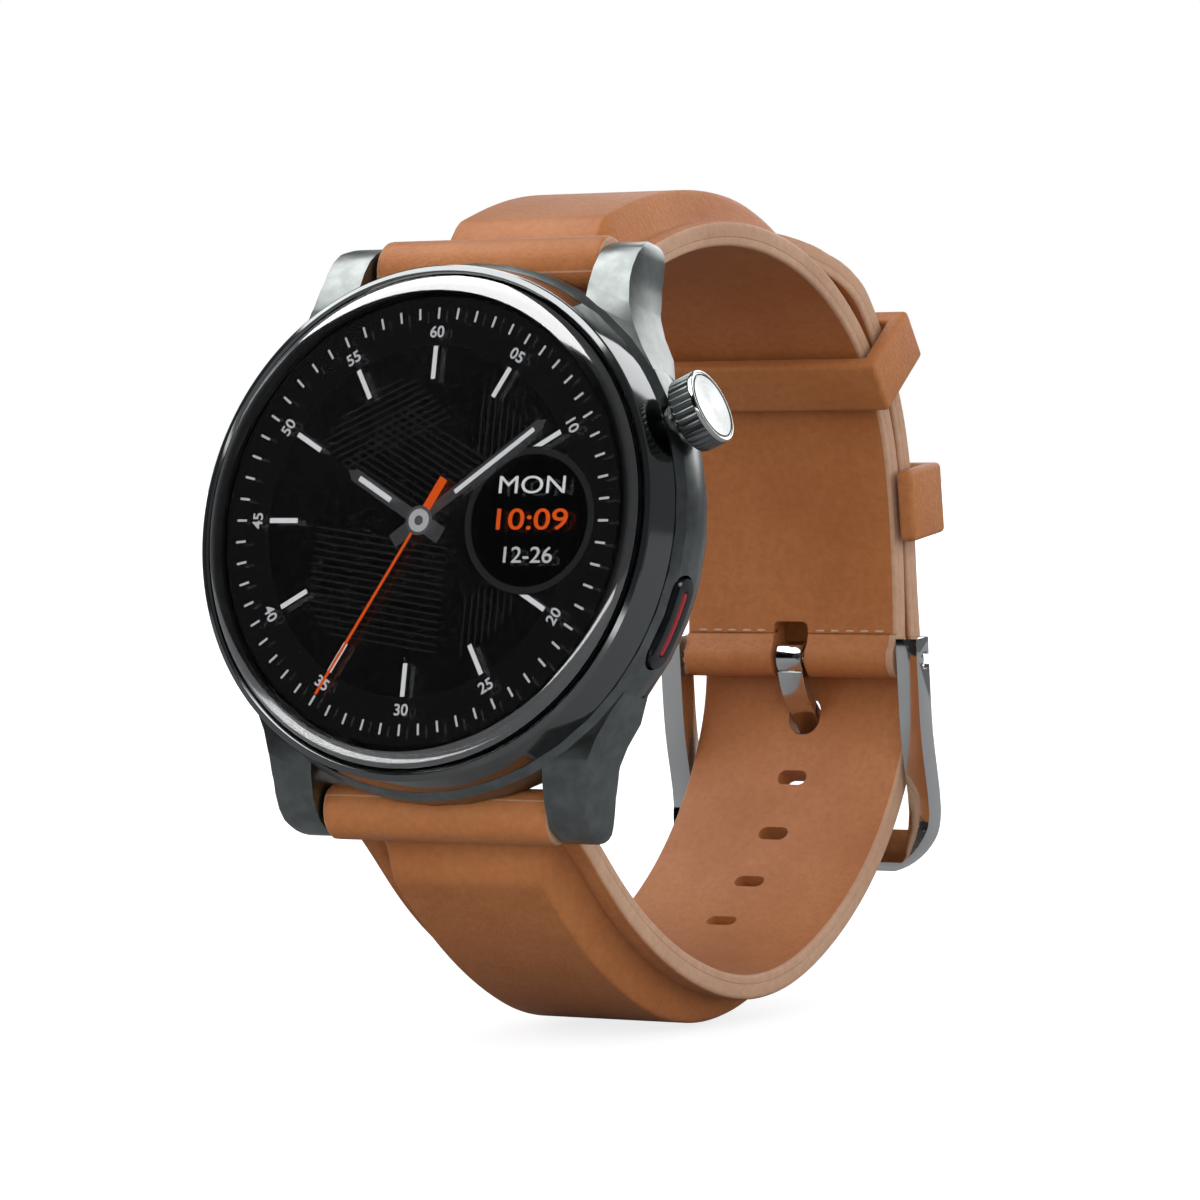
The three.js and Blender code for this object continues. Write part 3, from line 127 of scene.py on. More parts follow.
def make_camera():
    """A long lens, to the right of the dial and a little below it."""
    back = Vector((
        sin(CAMERA_TURN) * cos(CAMERA_RISE),
        -cos(CAMERA_TURN) * cos(CAMERA_RISE),
        sin(CAMERA_RISE),
    ))
    right = Vector((cos(CAMERA_TURN), sin(CAMERA_TURN), 0))
    up = back.cross(right)
    c, s = cos(CAMERA_ROLL), sin(CAMERA_ROLL)
    turn = Matrix((c * right + s * up, c * up - s * right, back)).transposed().to_4x4()
    data = bpy.data.cameras.new("camera")
    data.lens = LENS
    data.sensor_width = SENSOR
    camera = bpy.data.objects.new("camera", data)
    scene.collection.objects.link(camera)
    camera.matrix_world = WATCH @ Matrix.Translation(CAMERA_PLACE) @ turn
    data.clip_start, data.clip_end = 0.01, 10
    scene.camera = camera


def softbox(name, place, target, size, power, lights=True, shines=True):
    """A soft panel aimed at a point. It may light surfaces, show in reflections, or both."""
    data = bpy.data.lights.new(name, "AREA")
    data.shape = "RECTANGLE"
    data.size, data.size_y = size
    data.energy = power
    light = bpy.data.objects.new(name, data)
    scene.collection.objects.link(light)
    light.location = place
    light.rotation_euler = (Vector(target) - Vector(place)).to_track_quat("-Z", "Y").to_euler()
    light.visible_camera = False
    light.visible_diffuse, light.visible_glossy = lights, shines


def make_world():
    """An even pale room with a dark screen where the flat of the glass would mirror it."""
    world = bpy.data.worlds.new("studio")
    scene.world = world
    world.use_nodes = True
    tree = world.node_tree
    tree.nodes.clear()
    out = add(tree, "OutputWorld")
    shown = add(tree, "Background", Color=(1, 1, 1, 1))
    lit = add(tree, "Background", Color=(0.93, 0.96, 1, 1))
    coords = add(tree, "TexCoord")
    facing = add(tree, "VectorMath")
    facing.operation = "DOT_PRODUCT"
    facing.inputs[1].default_value = Vector(SCREEN).normalized()
    link(tree, coords.outputs["Generated"], facing.inputs[0])
    screened = ramp(tree, facing.outputs["Value"], 0.35, 0.86, ROOM_SHEEN, 0.002)
    path = add(tree, "LightPath")
    apart = add(tree, "SeparateXYZ")
    link(tree, coords.outputs["Generated"], apart.inputs[0])
    by_height = ramp(tree, apart.outputs["Z"], 0, 1, ROOM_LIGHT, ROOM_LIGHT * OVERHEAD)
    room = maths(tree, "MULTIPLY", path.outputs["Is Diffuse Ray"], by_height)
    link(tree, maths(tree, "MAXIMUM", screened, room), lit.inputs["Strength"])
    mix = add(tree, "MixShader")
    link(tree, path.outputs["Is Camera Ray"], mix.inputs["Fac"])
    link(tree, lit.outputs["Background"], mix.inputs[1])
    link(tree, shown.outputs["Background"], mix.inputs[2])
    link(tree, mix.outputs["Shader"], out.inputs["Surface"])


def make_floor():
    """A white floor that takes a faint shadow and is lost in the background away from the watch. Its glow for
    the camera is weaker near the watch, a painted shade round it.
    """
    low, high = cad_box
    mesh = bmesh.new()
    bmesh.ops.create_circle(mesh, cap_ends=True, radius=FLOOR_RADIUS, segments=64)
    material, tree, shader = new_material("floor_white", {
        "Base Color": (0.34, 0.34, 0.34, 1), "Roughness": 0.8, "Specular IOR Level": 0,
        "Emission Color": (1, 1, 1, 1),
    })
    path = add(tree, "LightPath")
    coords = add(tree, "TexCoord")
    away = add(tree, "VectorMath")
    away.operation = "LENGTH"
    link(tree, coords.outputs["Object"], away.inputs[0])
    # painted shade: the camera glow rises from 0.8 near the watch to 1.0 further out, so the floor is darker
    # round the watch
    glow_with_painted_shade = ramp(tree, away.outputs["Value"], 0.05, 0.3, 0.8, 1.0)
    strength = maths(tree, "MULTIPLY", path.outputs["Is Camera Ray"], glow_with_painted_shade)
    link(tree, strength, shader.inputs["Emission Strength"])
    floor = finish_mesh(mesh, "floor", material, None, smooth=False)
    middle = (low + high) / 2
    floor.data.transform(Matrix.Translation((middle.x, middle.y, low.z - FLOOR_DROP)))


# ---- Shader parts ----


def new_material(name, constants):
    """A material whose shader has the constants given on its own sockets."""
    material = bpy.data.materials.new(name)
    material.use_nodes = True
    tree = material.node_tree
    shader = tree.nodes["Principled BSDF"]
    for label, value in constants.items():
        shader.inputs[label].default_value = value
    return material, tree, shader


def add(tree, kind, **constants):
    """A shader node with constants on its inputs."""
    node = tree.nodes.new("ShaderNode" + kind)
    for label, value in constants.items():
        node.inputs[label].default_value = value
    return node


def link(tree, a, b):
    tree.links.new(a, b)


def make_group(name, inputs, outputs, build):
    """A shader group with number and colour inputs, filled in by a function."""
    group = bpy.data.node_groups.new(name, "ShaderNodeTree")
    for label, value in inputs.items():
        kind = "NodeSocketFloat" if isinstance(value, (int, float)) else "NodeSocketColor"
        socket = group.interface.new_socket(label, in_out="INPUT", socket_type=kind)
        socket.default_value = value if kind == "NodeSocketFloat" else (*value, 1)
    for label, kind in outputs.items():
        group.interface.new_socket(label, in_out="OUTPUT", socket_type=kind)
    build(group, group.nodes.new("NodeGroupInput"), group.nodes.new("NodeGroupOutput"))
    return group


def noise(tree, scale, detail=3, rough=0.5, source=None, stretch=None):
    """Noise on the object's own coordinates, stretched where asked, or on a vector given."""
    coords = add(tree, "TexCoord")
    texture = add(tree, "TexNoise", Scale=scale, Detail=detail, Roughness=rough)
    vector = coords.outputs["Object"]
    if stretch:
        mapping = add(tree, "Mapping", Scale=stretch)
        link(tree, vector, mapping.inputs["Vector"])
        vector = mapping.outputs["Vector"]
    link(tree, source or vector, texture.inputs["Vector"])
    return texture.outputs["Fac"]


def ramp(tree, value, low, high, out_low, out_high):
    """Maps low to high on to out_low to out_high, and holds past the ends."""
    node = add(tree, "MapRange")
    for label, number in zip(("From Min", "From Max", "To Min", "To Max"), (low, high, out_low, out_high)):
        node.inputs[label].default_value = number
    link(tree, value, node.inputs["Value"])
    return node.outputs["Result"]


def mixed(tree, factor, a, b):
    node = add(tree, "Mix")
    node.data_type = "RGBA"
    if isinstance(factor, (int, float)):
        node.inputs[0].default_value = factor
    else:
        link(tree, factor, node.inputs[0])
    for socket, color in ((node.inputs[6], a), (node.inputs[7], b)):
        if isinstance(color, tuple):
            socket.default_value = (*color, 1)
        else:
            link(tree, color, socket)
    return node.outputs[2]


def maths(tree, operation, a, b=None):
    node = add(tree, "Math")
    node.operation = operation
    for socket, value in zip(node.inputs, (a, b)):
        if isinstance(value, (int, float)):
            socket.default_value = value
        elif value is not None:
            link(tree, value, socket)
    return node.outputs[0]


def bump(tree, shader, height, strength, distance):
    node = add(tree, "Bump", Strength=strength, Distance=distance)
    link(tree, height, node.inputs["Height"])
    link(tree, node.outputs["Normal"], shader.inputs["Normal"])


def build_smudge(group, given, result):
    """Uneven polish and a little dust, as a roughness around the one given."""
    broad = noise(group, 160, 4, 0.6)
    fine = noise(group, 2600, 2, 0.5)
    amount = maths(group, "MULTIPLY", ramp(group, broad, 0.35, 0.7, -1, 1), given.outputs["Amount"])
    speck = maths(group, "MULTIPLY", ramp(group, fine, 0.62, 0.75, 0, 1), given.outputs["Amount"])
    total = maths(group, "ADD", maths(group, "ADD", given.outputs["Roughness"], amount), speck)
    link(group, total, result.inputs["Roughness"])


def build_edge_wear(group, given, result):
    """The base colour, lighter where an edge is rubbed."""
    geometry = add(group, "NewGeometry")
    edge = ramp(group, geometry.outputs["Pointiness"], 0.53, 0.6, 0, 1)
    rubbed = maths(group, "MULTIPLY", edge, ramp(group, noise(group, 700), 0.4, 0.65, 0.2, 1))
    worn = maths(group, "MULTIPLY", rubbed, given.outputs["Amount"])
    link(group, mixed(group, worn, given.outputs["Color"], given.outputs["Worn"]), result.inputs["Color"])


def build_pebble(group, given, result):
    """Fine pebbled leather grain with broad creasing, as a height."""
    coords = add(group, "TexCoord")
    cells = add(group, "TexVoronoi", Scale=1700)
    cells.feature = "DISTANCE_TO_EDGE"
    link(group, coords.outputs["Object"], cells.inputs["Vector"])
    pebbles = ramp(group, cells.outputs["Distance"], 0.0, 0.22, 0, 1)
    height = maths(group, "ADD", maths(group, "MULTIPLY", pebbles, 0.7), noise(group, 900, 4, 0.6))
    link(group, height, result.inputs["Height"])


smudge = make_group(
    "uneven_polish", {"Roughness": 0.3, "Amount": 0.05}, {"Roughness": "NodeSocketFloat"}, build_smudge
)
edge_wear = make_group(
    "rubbed_edges",
    {"Color": (0.1, 0.1, 0.1), "Worn": (0.4, 0.4, 0.4), "Amount": 0.6},
    {"Color": "NodeSocketColor"},
    build_edge_wear,
)
pebble = make_group("pebble_grain", {}, {"Height": "NodeSocketFloat"}, build_pebble)


def use_group(tree, group, **values):
    node = add(tree, "Group")
    node.node_tree = group
    for label, value in values.items():
        node.inputs[label].default_value = (*value, 1) if isinstance(value, tuple) else value
    return node


# ---- Materials ----


def plain(name, color, roughness, metallic=0.0, grain=900, depth=0.00001, wear=0.15, smear=0.05):
    """A moulded, painted or turned surface with uneven polish, rubbed edges and a fine texture."""
    material, tree, shader = new_material(name, {"Metallic": metallic})
    worn = tuple(min(1, c * 1.8 + 0.04) for c in color)
    rubbed = use_group(tree, edge_wear, Color=color, Worn=worn, Amount=wear)
    polish = use_group(tree, smudge, Roughness=roughness, Amount=smear)
    link(tree, rubbed.outputs["Color"], shader.inputs["Base Color"])
    link(tree, polish.outputs["Roughness"], shader.inputs["Roughness"])
    bump(tree, shader, noise(tree, grain), 0.25, depth)
    return material


def spun_metal(name, color, roughness, stretch, anisotropy=0.6):
    """Metal with fine turning lines, stretched along the axes given."""
    material, tree, shader = new_material(name, {"Metallic": 1, "Anisotropic": anisotropy})
    lines = noise(tree, 1, 3, 0.6, stretch=stretch)
    shade = mixed(tree, lines, tuple(c * 0.75 for c in color), tuple(min(1, c * 1.15) for c in color))
    link(tree, shade, shader.inputs["Base Color"])
    link(tree, ramp(tree, lines, 0.3, 0.7, roughness * 0.7, roughness * 1.3), shader.inputs["Roughness"])
    bump(tree, shader, lines, 0.3, 0.000008)
    return material


def leather(name, lit, deep, roughness=0.52, strength=0.42):
    """Leather with a fine grain, its colour moving between a lit and a deep tone."""
    material, tree, shader = new_material(name, {"Specular IOR Level": 0.16, "Sheen Weight": 0.03})
    broad = noise(tree, 55, 4, 0.6)
    fine = noise(tree, 1500, 3, 0.6)
    tone = mixed(tree, ramp(tree, broad, 0.3, 0.7, 0, 1), lit, deep)
    dark = mixed(tree, ramp(tree, fine, 0.3, 0.75, 0, 0.35), tone, tuple(c * 0.62 for c in deep))
    link(tree, dark, shader.inputs["Base Color"])
    link(tree, ramp(tree, broad, 0.3, 0.7, roughness - 0.05, roughness + 0.08), shader.inputs["Roughness"])
    bump(tree, shader, use_group(tree, pebble).outputs["Height"], strength, 0.00006)
    return material


def glowing(name, color):
    """A lit part of what the display shows, very slightly uneven."""
    material, tree, shader = new_material(name, {
        "Base Color": (0.001, 0.001, 0.001, 1), "Roughness": 0.6, "Specular IOR Level": 0,
        "Emission Strength": 1,
    })
    cells = noise(tree, 9000, 1, 0.3)
    lit = mixed(tree, ramp(tree, cells, 0.3, 0.7, 0, 0.12), color, tuple(c * 0.8 for c in color))
    link(tree, lit, shader.inputs["Emission Color"])
    return material


def glass_material():
    """Clear glass under a bright hard coat, with the faintest smear of handling."""
    material, tree, shader = new_material("cover_glass", {
        "Base Color": (1, 1, 1, 1), "Transmission Weight": 1, "IOR": 1.45,
        "Coat Weight": 1, "Coat IOR": 2.4, "Coat Roughness": 0.07,
    })
    link(tree, ramp(tree, noise(tree, 60, 3, 0.6), 0.45, 0.75, 0.0, 0.012), shader.inputs["Roughness"])
    return material


look = {
    "case_metal": plain("satin_gunmetal", (0.15, 0.163, 0.159), 0.33, 1, 5200, 0.000006, 0.35, 0.04),
    "bezel_metal": plain("polished_gunmetal", (0.17, 0.176, 0.176), 0.11, 1, 2400, 0.000002, 0.2, 0.02),
    "polished_steel": plain("polished_steel", (0.66, 0.66, 0.65), 0.09, 1, 900, 0.000004, 0.1, 0.03),
    "pin_steel": plain("turned_steel", (0.62, 0.62, 0.62), 0.22, 1, 4200, 0.00001, 0.3),
    "cover_glass": glass_material(),
    "display": plain("display_black", (0.004, 0.004, 0.0045), 0.35, 0, 3000, 0.000001, 0.0, 0.02),
    "black_plastic": plain("moulded_black", (0.02, 0.021, 0.023), 0.42, 0, 5200, 0.00002, 0.4),
    "gloss_black": plain("gloss_black", (0.008, 0.0085, 0.01), 0.08, 0.0, 1200, 0.000002, 0.1, 0.02),
    "seal_rubber": plain("seal_rubber", (0.012, 0.012, 0.013), 0.72, 0, 3600, 0.00003, 0.1),
    "circuit_board": plain("solder_mask", (0.015, 0.09, 0.05), 0.4, 0, 2400, 0.00001, 0.2),
    "tin_plate": spun_metal("tinned_plate", (0.68, 0.69, 0.68), 0.25, (300, 4000, 300)),
    "battery_foil": plain("foil_pouch", (0.5, 0.53, 0.55), 0.35, 0.9, 420, 0.00006, 0.2),
    "polyimide": plain("amber_film", (0.45, 0.2, 0.04), 0.35, 0, 2400, 0.00001, 0.1),
    "contact_gold": plain("gold_plate", (0.83, 0.6, 0.28), 0.18, 1, 2600, 0.000005, 0.2),
    "accent_red": plain("accent_red", (0.32, 0.006, 0.01), 0.3, 0, 2600, 0.000005, 0.2),
    "emitter": plain("emitter_lens", (0.06, 0.35, 0.14), 0.2, 0, 2000, 0.000005, 0.1),
    "leather_tan": leather("tan_leather", (0.50, 0.19, 0.064), (0.39, 0.128, 0.036)),
    "leather_lining": leather("lining_leather", (0.50, 0.185, 0.06), (0.38, 0.122, 0.034), 0.5, 0.3),
    "strap_padding": plain("fibre_padding", (0.62, 0.52, 0.4), 0.9, 0, 900, 0.0001, 0.1),
}
cut_edge = leather("cut_leather_edge", (0.56, 0.34, 0.215), (0.45, 0.25, 0.15), 0.6, 0.25)
thread = leather("pale_thread", (0.62, 0.45, 0.3), (0.5, 0.33, 0.2), 0.7, 0.5)

# ---- Making pieces ----


def weld(mesh, distance):
    bmesh.ops.remove_doubles(mesh, verts=mesh.verts, dist=distance)


def final_mesh(source):
    """An object's mesh as its modifiers or its curve make it."""
    bpy.context.view_layer.update()
    return bpy.data.meshes.new_from_object(source.evaluated_get(bpy.context.evaluated_depsgraph_get()))


def as_object(mesh, name):
    data = bpy.data.meshes.new(name)
    mesh.to_mesh(data)
    mesh.free()
    made = bpy.data.objects.new(name, data)
    scene.collection.objects.link(made)
    return made


def smooth_by_angle(mesh, angle):
    for face in mesh.faces:
        face.smooth = True
    for edge in mesh.edges:
        edge.smooth = len(edge.link_faces) == 2 and edge.calc_face_angle(0) < angle


def finish_mesh(mesh, name, materials, body, smooth=True, angle=radians(35), normals=True):
    """Turns a bmesh in the row frame into a piece of the object, which rides on a body if one is given."""
    if normals:
        bmesh.ops.recalc_face_normals(mesh, faces=mesh.faces)
    if smooth:
        smooth_by_angle(mesh, angle)
    piece = as_object(mesh, name)
    for material in materials if isinstance(materials, list) else [materials]:
        piece.data.materials.append(material)
    if body:
        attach(piece, body)
    return piece


def refined(node, body, width=0.12, segments=2, bevel_angle=radians(28), material=None, shape=None):
    """Stands for a CAD piece, with its facets merged and its edges rounded by a width in mm."""
    source = frame["nodes"][node]
    slot = slots[node]
    mesh = bmesh.new()
    mesh.from_mesh(source.data)
    mesh.transform(source.matrix_world)
    weld(mesh, 2e-6)
    if shape:
        shape(mesh)
    bmesh.ops.dissolve_limit(mesh, angle_limit=radians(1), verts=mesh.verts, edges=mesh.edges)
    sharp = [e for e in mesh.edges if len(e.link_faces) == 2 and e.calc_face_angle(0) > bevel_angle]
    bmesh.ops.bevel(
        mesh, geom=sharp, offset=width * MM, offset_type="OFFSET", segments=segments,
        profile=0.5, affect="EDGES", clamp_overlap=True, material=-1,
    )
    piece = finish_mesh(mesh, node + "_look", material or look[slot], body, angle=radians(50))
    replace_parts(piece, node)


slots = {p["node"]: p["material_slot"] for p in frame["record"]["subparts"]}


def turned(profile, axis, steps, joined=False):
    """A full turn of a line of points about an axis, with the line's ends joined up where asked."""
    mesh = bmesh.new()
    points = [mesh.verts.new(p) for p in profile]
    following = points[1:] + (points[:1] if joined else [])
    edges = [mesh.edges.new(pair) for pair in zip(points, following)]
    bmesh.ops.spin(mesh, geom=points + edges, cent=(0, 0, 0), axis=axis, angle=2 * pi, steps=steps,
                   use_duplicate=False)
    weld(mesh, 1e-6)
    return mesh


def front_part(name, profile, slot, node, angle):
    """A round piece about the watch's Y axis from [radius, depth] points, standing for a CAD node."""
    mesh = turned([(r, y, 0) for r, y in profile], (0, 1, 0), 144)
    mesh.transform(WATCH)
    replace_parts(finish_mesh(mesh, name, look[slot], "case", angle=angle), node)


make_camera()
make_world()
make_floor()

# ---- Front: glass, bezel, display and its picture ----


def arc(centre, radius, start, end, steps):
    """Points of an arc in (radius, depth), its angles in degrees from the outward direction."""
    turns = [radians(start + (end - start) * i / steps) for i in range(steps + 1)]
    return [(centre[0] + radius * cos(t), centre[1] + radius * sin(t)) for t in turns]


def cover_glass():
    """The flat of the glass, and its rim that falls away in an arc."""
    edge = span("cover_glass", 0)[1]
    front, back = span("cover_glass", 1)
    drop, width, steps = 0.75 * MM, 1.7 * MM, 20
    slope = 2 * atan(drop / width)
    sweep = width / sin(slope)
    profile = [(0, back), (edge - 0.1 * MM, back), (edge, back - 0.08 * MM)]
    for i in range(steps + 1):
        turn = slope * (1 - i / steps)
        profile.append((edge - width + sweep * sin(turn), front + sweep * (1 - cos(turn))))
    profile.append((0, front))
    front_part("glass", profile, "cover_glass", "cover_glass", radians(28))


def bezel_ring():
    """Dark slope inside, a lit crest, then a polished side that widens a little towards the case."""
    outer = span("bezel_ring", 0)[1]
    front, back = span("bezel_ring", 1)
    bore = span("cover_glass", 0)[1] + 0.06 * MM
    crest, brow, ledge = 21.28 * MM, 21.72 * MM, 19.3 * MM
    step = back - 1 * MM
    slope = [(bore, step), (bore, front + 0.34 * MM), (crest - 0.05 * MM, front + 0.03 * MM)]
    lit = [(crest, front), (crest + 0.06 * MM, front + 0.01 * MM), (brow, front + 0.2 * MM),
           (brow + 0.1 * MM, front + 0.3 * MM), (brow + 0.14 * MM, front + 0.44 * MM)]
    foot = [(outer - 0.12 * MM, back - 0.16 * MM), (outer - 0.14 * MM, back - 0.04 * MM),
            (outer - 0.26 * MM, back)]
    inside = [(ledge, back), (ledge, step), (bore, step)]
    front_part("bezel", slope + lit + foot + inside, "bezel_metal", "bezel_ring", radians(16))


# What the display shows lies just in front of its lit face, each kind of mark this many mm out from it.
LAYER = {"ground": 0.008, "hatching": 0.016, "marks": 0.03, "dial": 0.04, "text": 0.05, "hands": 0.062,
         "inlay": 0.072, "needle": 0.082, "hub": 0.092, "pin": 0.1}
FACE = Matrix(((1, 0, 0), (0, 0, 1), (0, -1, 0))).transposed().to_4x4()
GLOW_COLORS = {
    "white": (0.85, 0.86, 0.88), "numeral": (0.62, 0.63, 0.65), "grey": (0.09, 0.092, 0.096),
    "dark_grey": (0.0125, 0.0125, 0.0135), "rim": (0.0065, 0.0065, 0.007), "black": (0.001, 0.001, 0.0012),
    "ring": (0.022, 0.022, 0.024), "hand": (0.055, 0.056, 0.058), "orange": (0.9, 0.11, 0.012),
    "silver": (0.5, 0.5, 0.52),
}
glow = {name: glowing("lit_" + name, color) for name, color in GLOW_COLORS.items()}


def on_face(layer, x=0.0, z=0.0, turn=0.0):
    """A place on the display, in mm, turned clockwise in degrees."""
    place = Matrix.Translation((x * MM, -LAYER[layer] * MM, z * MM))
    return place @ FACE @ Matrix.Rotation(-radians(turn), 4, "Z")


def strip(mesh, layer, length, width, start=0.0, turn=0.0, x=0.0, z=0.0):
    """A straight mark that starts at a distance from (x, z) and runs out along a clock angle."""
    shape = Matrix.Diagonal((width * MM, length * MM, 1, 1))
    shift = Matrix.Translation((0, (start + length / 2) * MM, 0))
    bmesh.ops.create_grid(
        mesh, x_segments=1, y_segments=1, size=0.5, matrix=on_face(layer, x, z, turn) @ shift @ shape
    )


def picture(mesh, name, material):
    """Makes a mesh on the display a piece of the watch."""
    mesh.transform(WATCH)
    return finish_mesh(mesh, name, material, "case", smooth=False, normals=False)


def strips(name, layer, color, marks):
    """One piece of straight marks from the middle of the dial, each [length, width, start, turn]."""
    mesh = bmesh.new()
    for length, width, start, turn in marks:
        strip(mesh, layer, length, width, start, turn)
    picture(mesh, name, glow[color])


def disc(name, layer, color, outer, inner=0.0, x=0.0, z=0.0, segments=96):
    """A disc, or a ring where an inner radius is given."""
    mesh = bmesh.new()
    place = on_face(layer, x, z)
    bmesh.ops.create_circle(mesh, cap_ends=True, radius=outer * MM, segments=segments, matrix=place)
    if inner:
        faces = list(mesh.faces)
        bmesh.ops.inset_region(mesh, faces=faces, thickness=(outer - inner) * MM,
                               use_even_offset=True, use_boundary=True)
        bmesh.ops.delete(mesh, geom=faces, context="FACES")
    picture(mesh, name, glow[color])


# Groups of parallel lines on the display: [middle x, middle z, direction, lines, apart, half length, slide]
HATCHES = [
    (-5.0, 8.4, 66, 9, 0.62, 5.4, 0.5),
    (-0.4, 4.6, 118, 12, 0.62, 5.6, -0.35),
    (7.6, 8.0, 0, 9, 0.62, 2.9, -0.25),
    (-3.6, -5.8, 98, 15, 0.62, 6.6, 0.12),
    (7.4, -8.4, 0, 8, 0.62, 2.6, 0.2),
]
HATCH_REACH, HATCH_WIDTH, HATCH_SHORTEST = 12.4, 0.16, 0.5


def hatching():
    """Faint groups of lines, cut off at a circle."""
    mesh = bmesh.new()
    for x, z, turn, count, apart, half, slide in HATCHES:
        direction = Vector((sin(radians(turn)), cos(radians(turn))))
        side = Vector((direction.y, -direction.x))
        for i in range(count):
            offset = (i - (count - 1) / 2) * apart
            middle = Vector((x, z)) + side * offset + direction * slide * offset
            forward = middle.dot(direction)
            off_line = middle - direction * forward
            room = HATCH_REACH**2 - off_line.length_squared
            if room <= 0:
                continue
            low, high = max(forward - half, -sqrt(room)), min(forward + half, sqrt(room))
            if high - low > HATCH_SHORTEST:
                at = off_line + direction * low
                strip(mesh, "hatching", high - low, HATCH_WIDTH, turn=turn, x=at.x, z=at.y)
    picture(mesh, "hatching", glow["dark_grey"])


def written(name, body, size, material, x=0.0, z=0.0, turn=0.0, wide=1.0, bold=0.0):
    """Figures or letters on the display, with a height in mm."""
    curve = bpy.data.curves.new(name, "FONT")
    curve.body = body
    curve.size = size * MM
    curve.align_x, curve.align_y = "CENTER", "CENTER"
    curve.offset = bold * MM
    curve.fill_mode = "FRONT"
    source = bpy.data.objects.new(name + "_source", curve)
    scene.collection.objects.link(source)
    data = final_mesh(source)
    bpy.data.objects.remove(source)
    mesh = bmesh.new()
    mesh.from_mesh(data)
    mesh.transform(on_face("text", x, z, turn) @ Matrix.Diagonal((wide, 1, 1, 1)))
    picture(mesh, name, material)


NUMERAL_RADIUS = 15.95


def numerals():
    """Minute figures round the dial, the lower ones turned to read upright."""
    for number in range(5, 65, 5):
        if number == 15:
            continue
        turn = number * 6
        upside = 18 < number < 42
        x, z = NUMERAL_RADIUS * sin(radians(turn)), NUMERAL_RADIUS * cos(radians(turn))
        written(f"numeral_{number:02d}", f"{number:02d}", 1.35, glow["numeral"], x=x, z=z,
                turn=turn + (180 if upside else 0), wide=1.05, bold=0.025)


def hand(name, turn, reach, width, inlay, tail):
    """A pointed hand with a short tail, and a white inlay between two distances from the middle."""
    mesh = bmesh.new()
    shoulder = reach - width * 0.6
    strip(mesh, "hands", shoulder, width, turn=turn)
    tip = Matrix.Translation((0, shoulder * MM, 0))
    bmesh.ops.create_circle(
        mesh, cap_ends=True, radius=width * 0.58 * MM, segments=3,
        matrix=on_face("hands", turn=turn) @ tip,
    )
    strip(mesh, "hands", tail, width * 1.35, turn=turn + 180)
    picture(mesh, name, glow["hand"])
    strips(name + "_inlay", "inlay", "white", [(inlay[1] - inlay[0], width * 0.42, inlay[0], turn)])


def date_dial(x=10.6, z=0.0):
    """The small dial at 3 o'clock, with the day, the time and the date."""
    disc("date_dial", "dial", "black", 6.2, x=x, z=z)
    disc("date_dial_ring", "text", "ring", 6.15, 5.55, x=x, z=z)
    written("weekday", "MON", 2.1, glow["white"], x=x, z=z + 2.9, wide=1.34)
    written("time", "10:09", 2.5, glow["orange"], x=x, z=z, wide=1.36, bold=0.02)
    written("date", "12-26", 1.9, glow["numeral"], x=x, z=z - 2.95, wide=1.16, bold=0.015)


def display_picture():
    """Everything that the display shows, from its ground up to the pin of the hands."""
    disc("outer_ring", "ground", "rim", 18.9, 14.8)
    hatching()
    strips("minute_marks", "marks", "numeral", [(0.95, 0.2, 17.12, minute * 6) for minute in range(60)])
    strips("hour_marks", "marks", "white", [(2.8, 0.42, 12.0, hour * 30) for hour in range(12) if hour != 3])
    numerals()
    date_dial()
    hand("hour_hand", 300, 8.6, 1.1, (3.4, 7.2), 2.6)
    hand("minute_hand", 53.4, 14.2, 0.95, (4.0, 12.8), 3.0)
    strips("second_hand", "needle", "orange", [(17.0, 0.26, 0, 210), (4.1, 0.8, 0, 390)])
    disc("hub_plate", "hub", "grey", 1.25, segments=48)
    disc("hub_ring", "pin", "silver", 0.98, 0.42, segments=48)


# ---- Crown ----


def joint_frame(name):
    """A joint's place, with Z along its axis."""
    joint = joints[name]
    axis = Vector(joint["axis"])
    return Matrix.Translation(Vector(joint["pos_m"])) @ axis.to_track_quat("Z", "Y").to_matrix().to_4x4()


def along(node, place):
    """Where a CAD node starts and ends along a place's Z, and its radius about it."""
    owner = frame["nodes"][node]
    back = place.inverted()
    points = [back @ (owner.matrix_world @ v.co) for v in owner.data.vertices]
    return min(p.z for p in points), max(p.z for p in points), max(hypot(p.x, p.y) for p in points)


def turn_uv(mesh):
    """Lays UV round the Z axis: share of a turn across, distance from the axis in mm up."""
    layer = mesh.loops.layers.uv.new("turn")
    for face in mesh.faces:
        middle = face.calc_center_median()
        base = Vector((middle.x, middle.y))
        for loop in face.loops:
            point = Vector((loop.vert.co.x, loop.vert.co.y))
            turn = base.angle_signed(point, 0.0) if point.length > 1e-9 and base.length > 1e-9 else 0.0
            angle = Vector((1, 0)).angle_signed(base, 0.0) if base.length > 1e-9 else 0.0
            loop[layer].uv = ((angle + turn) / (2 * pi), point.length / MM)


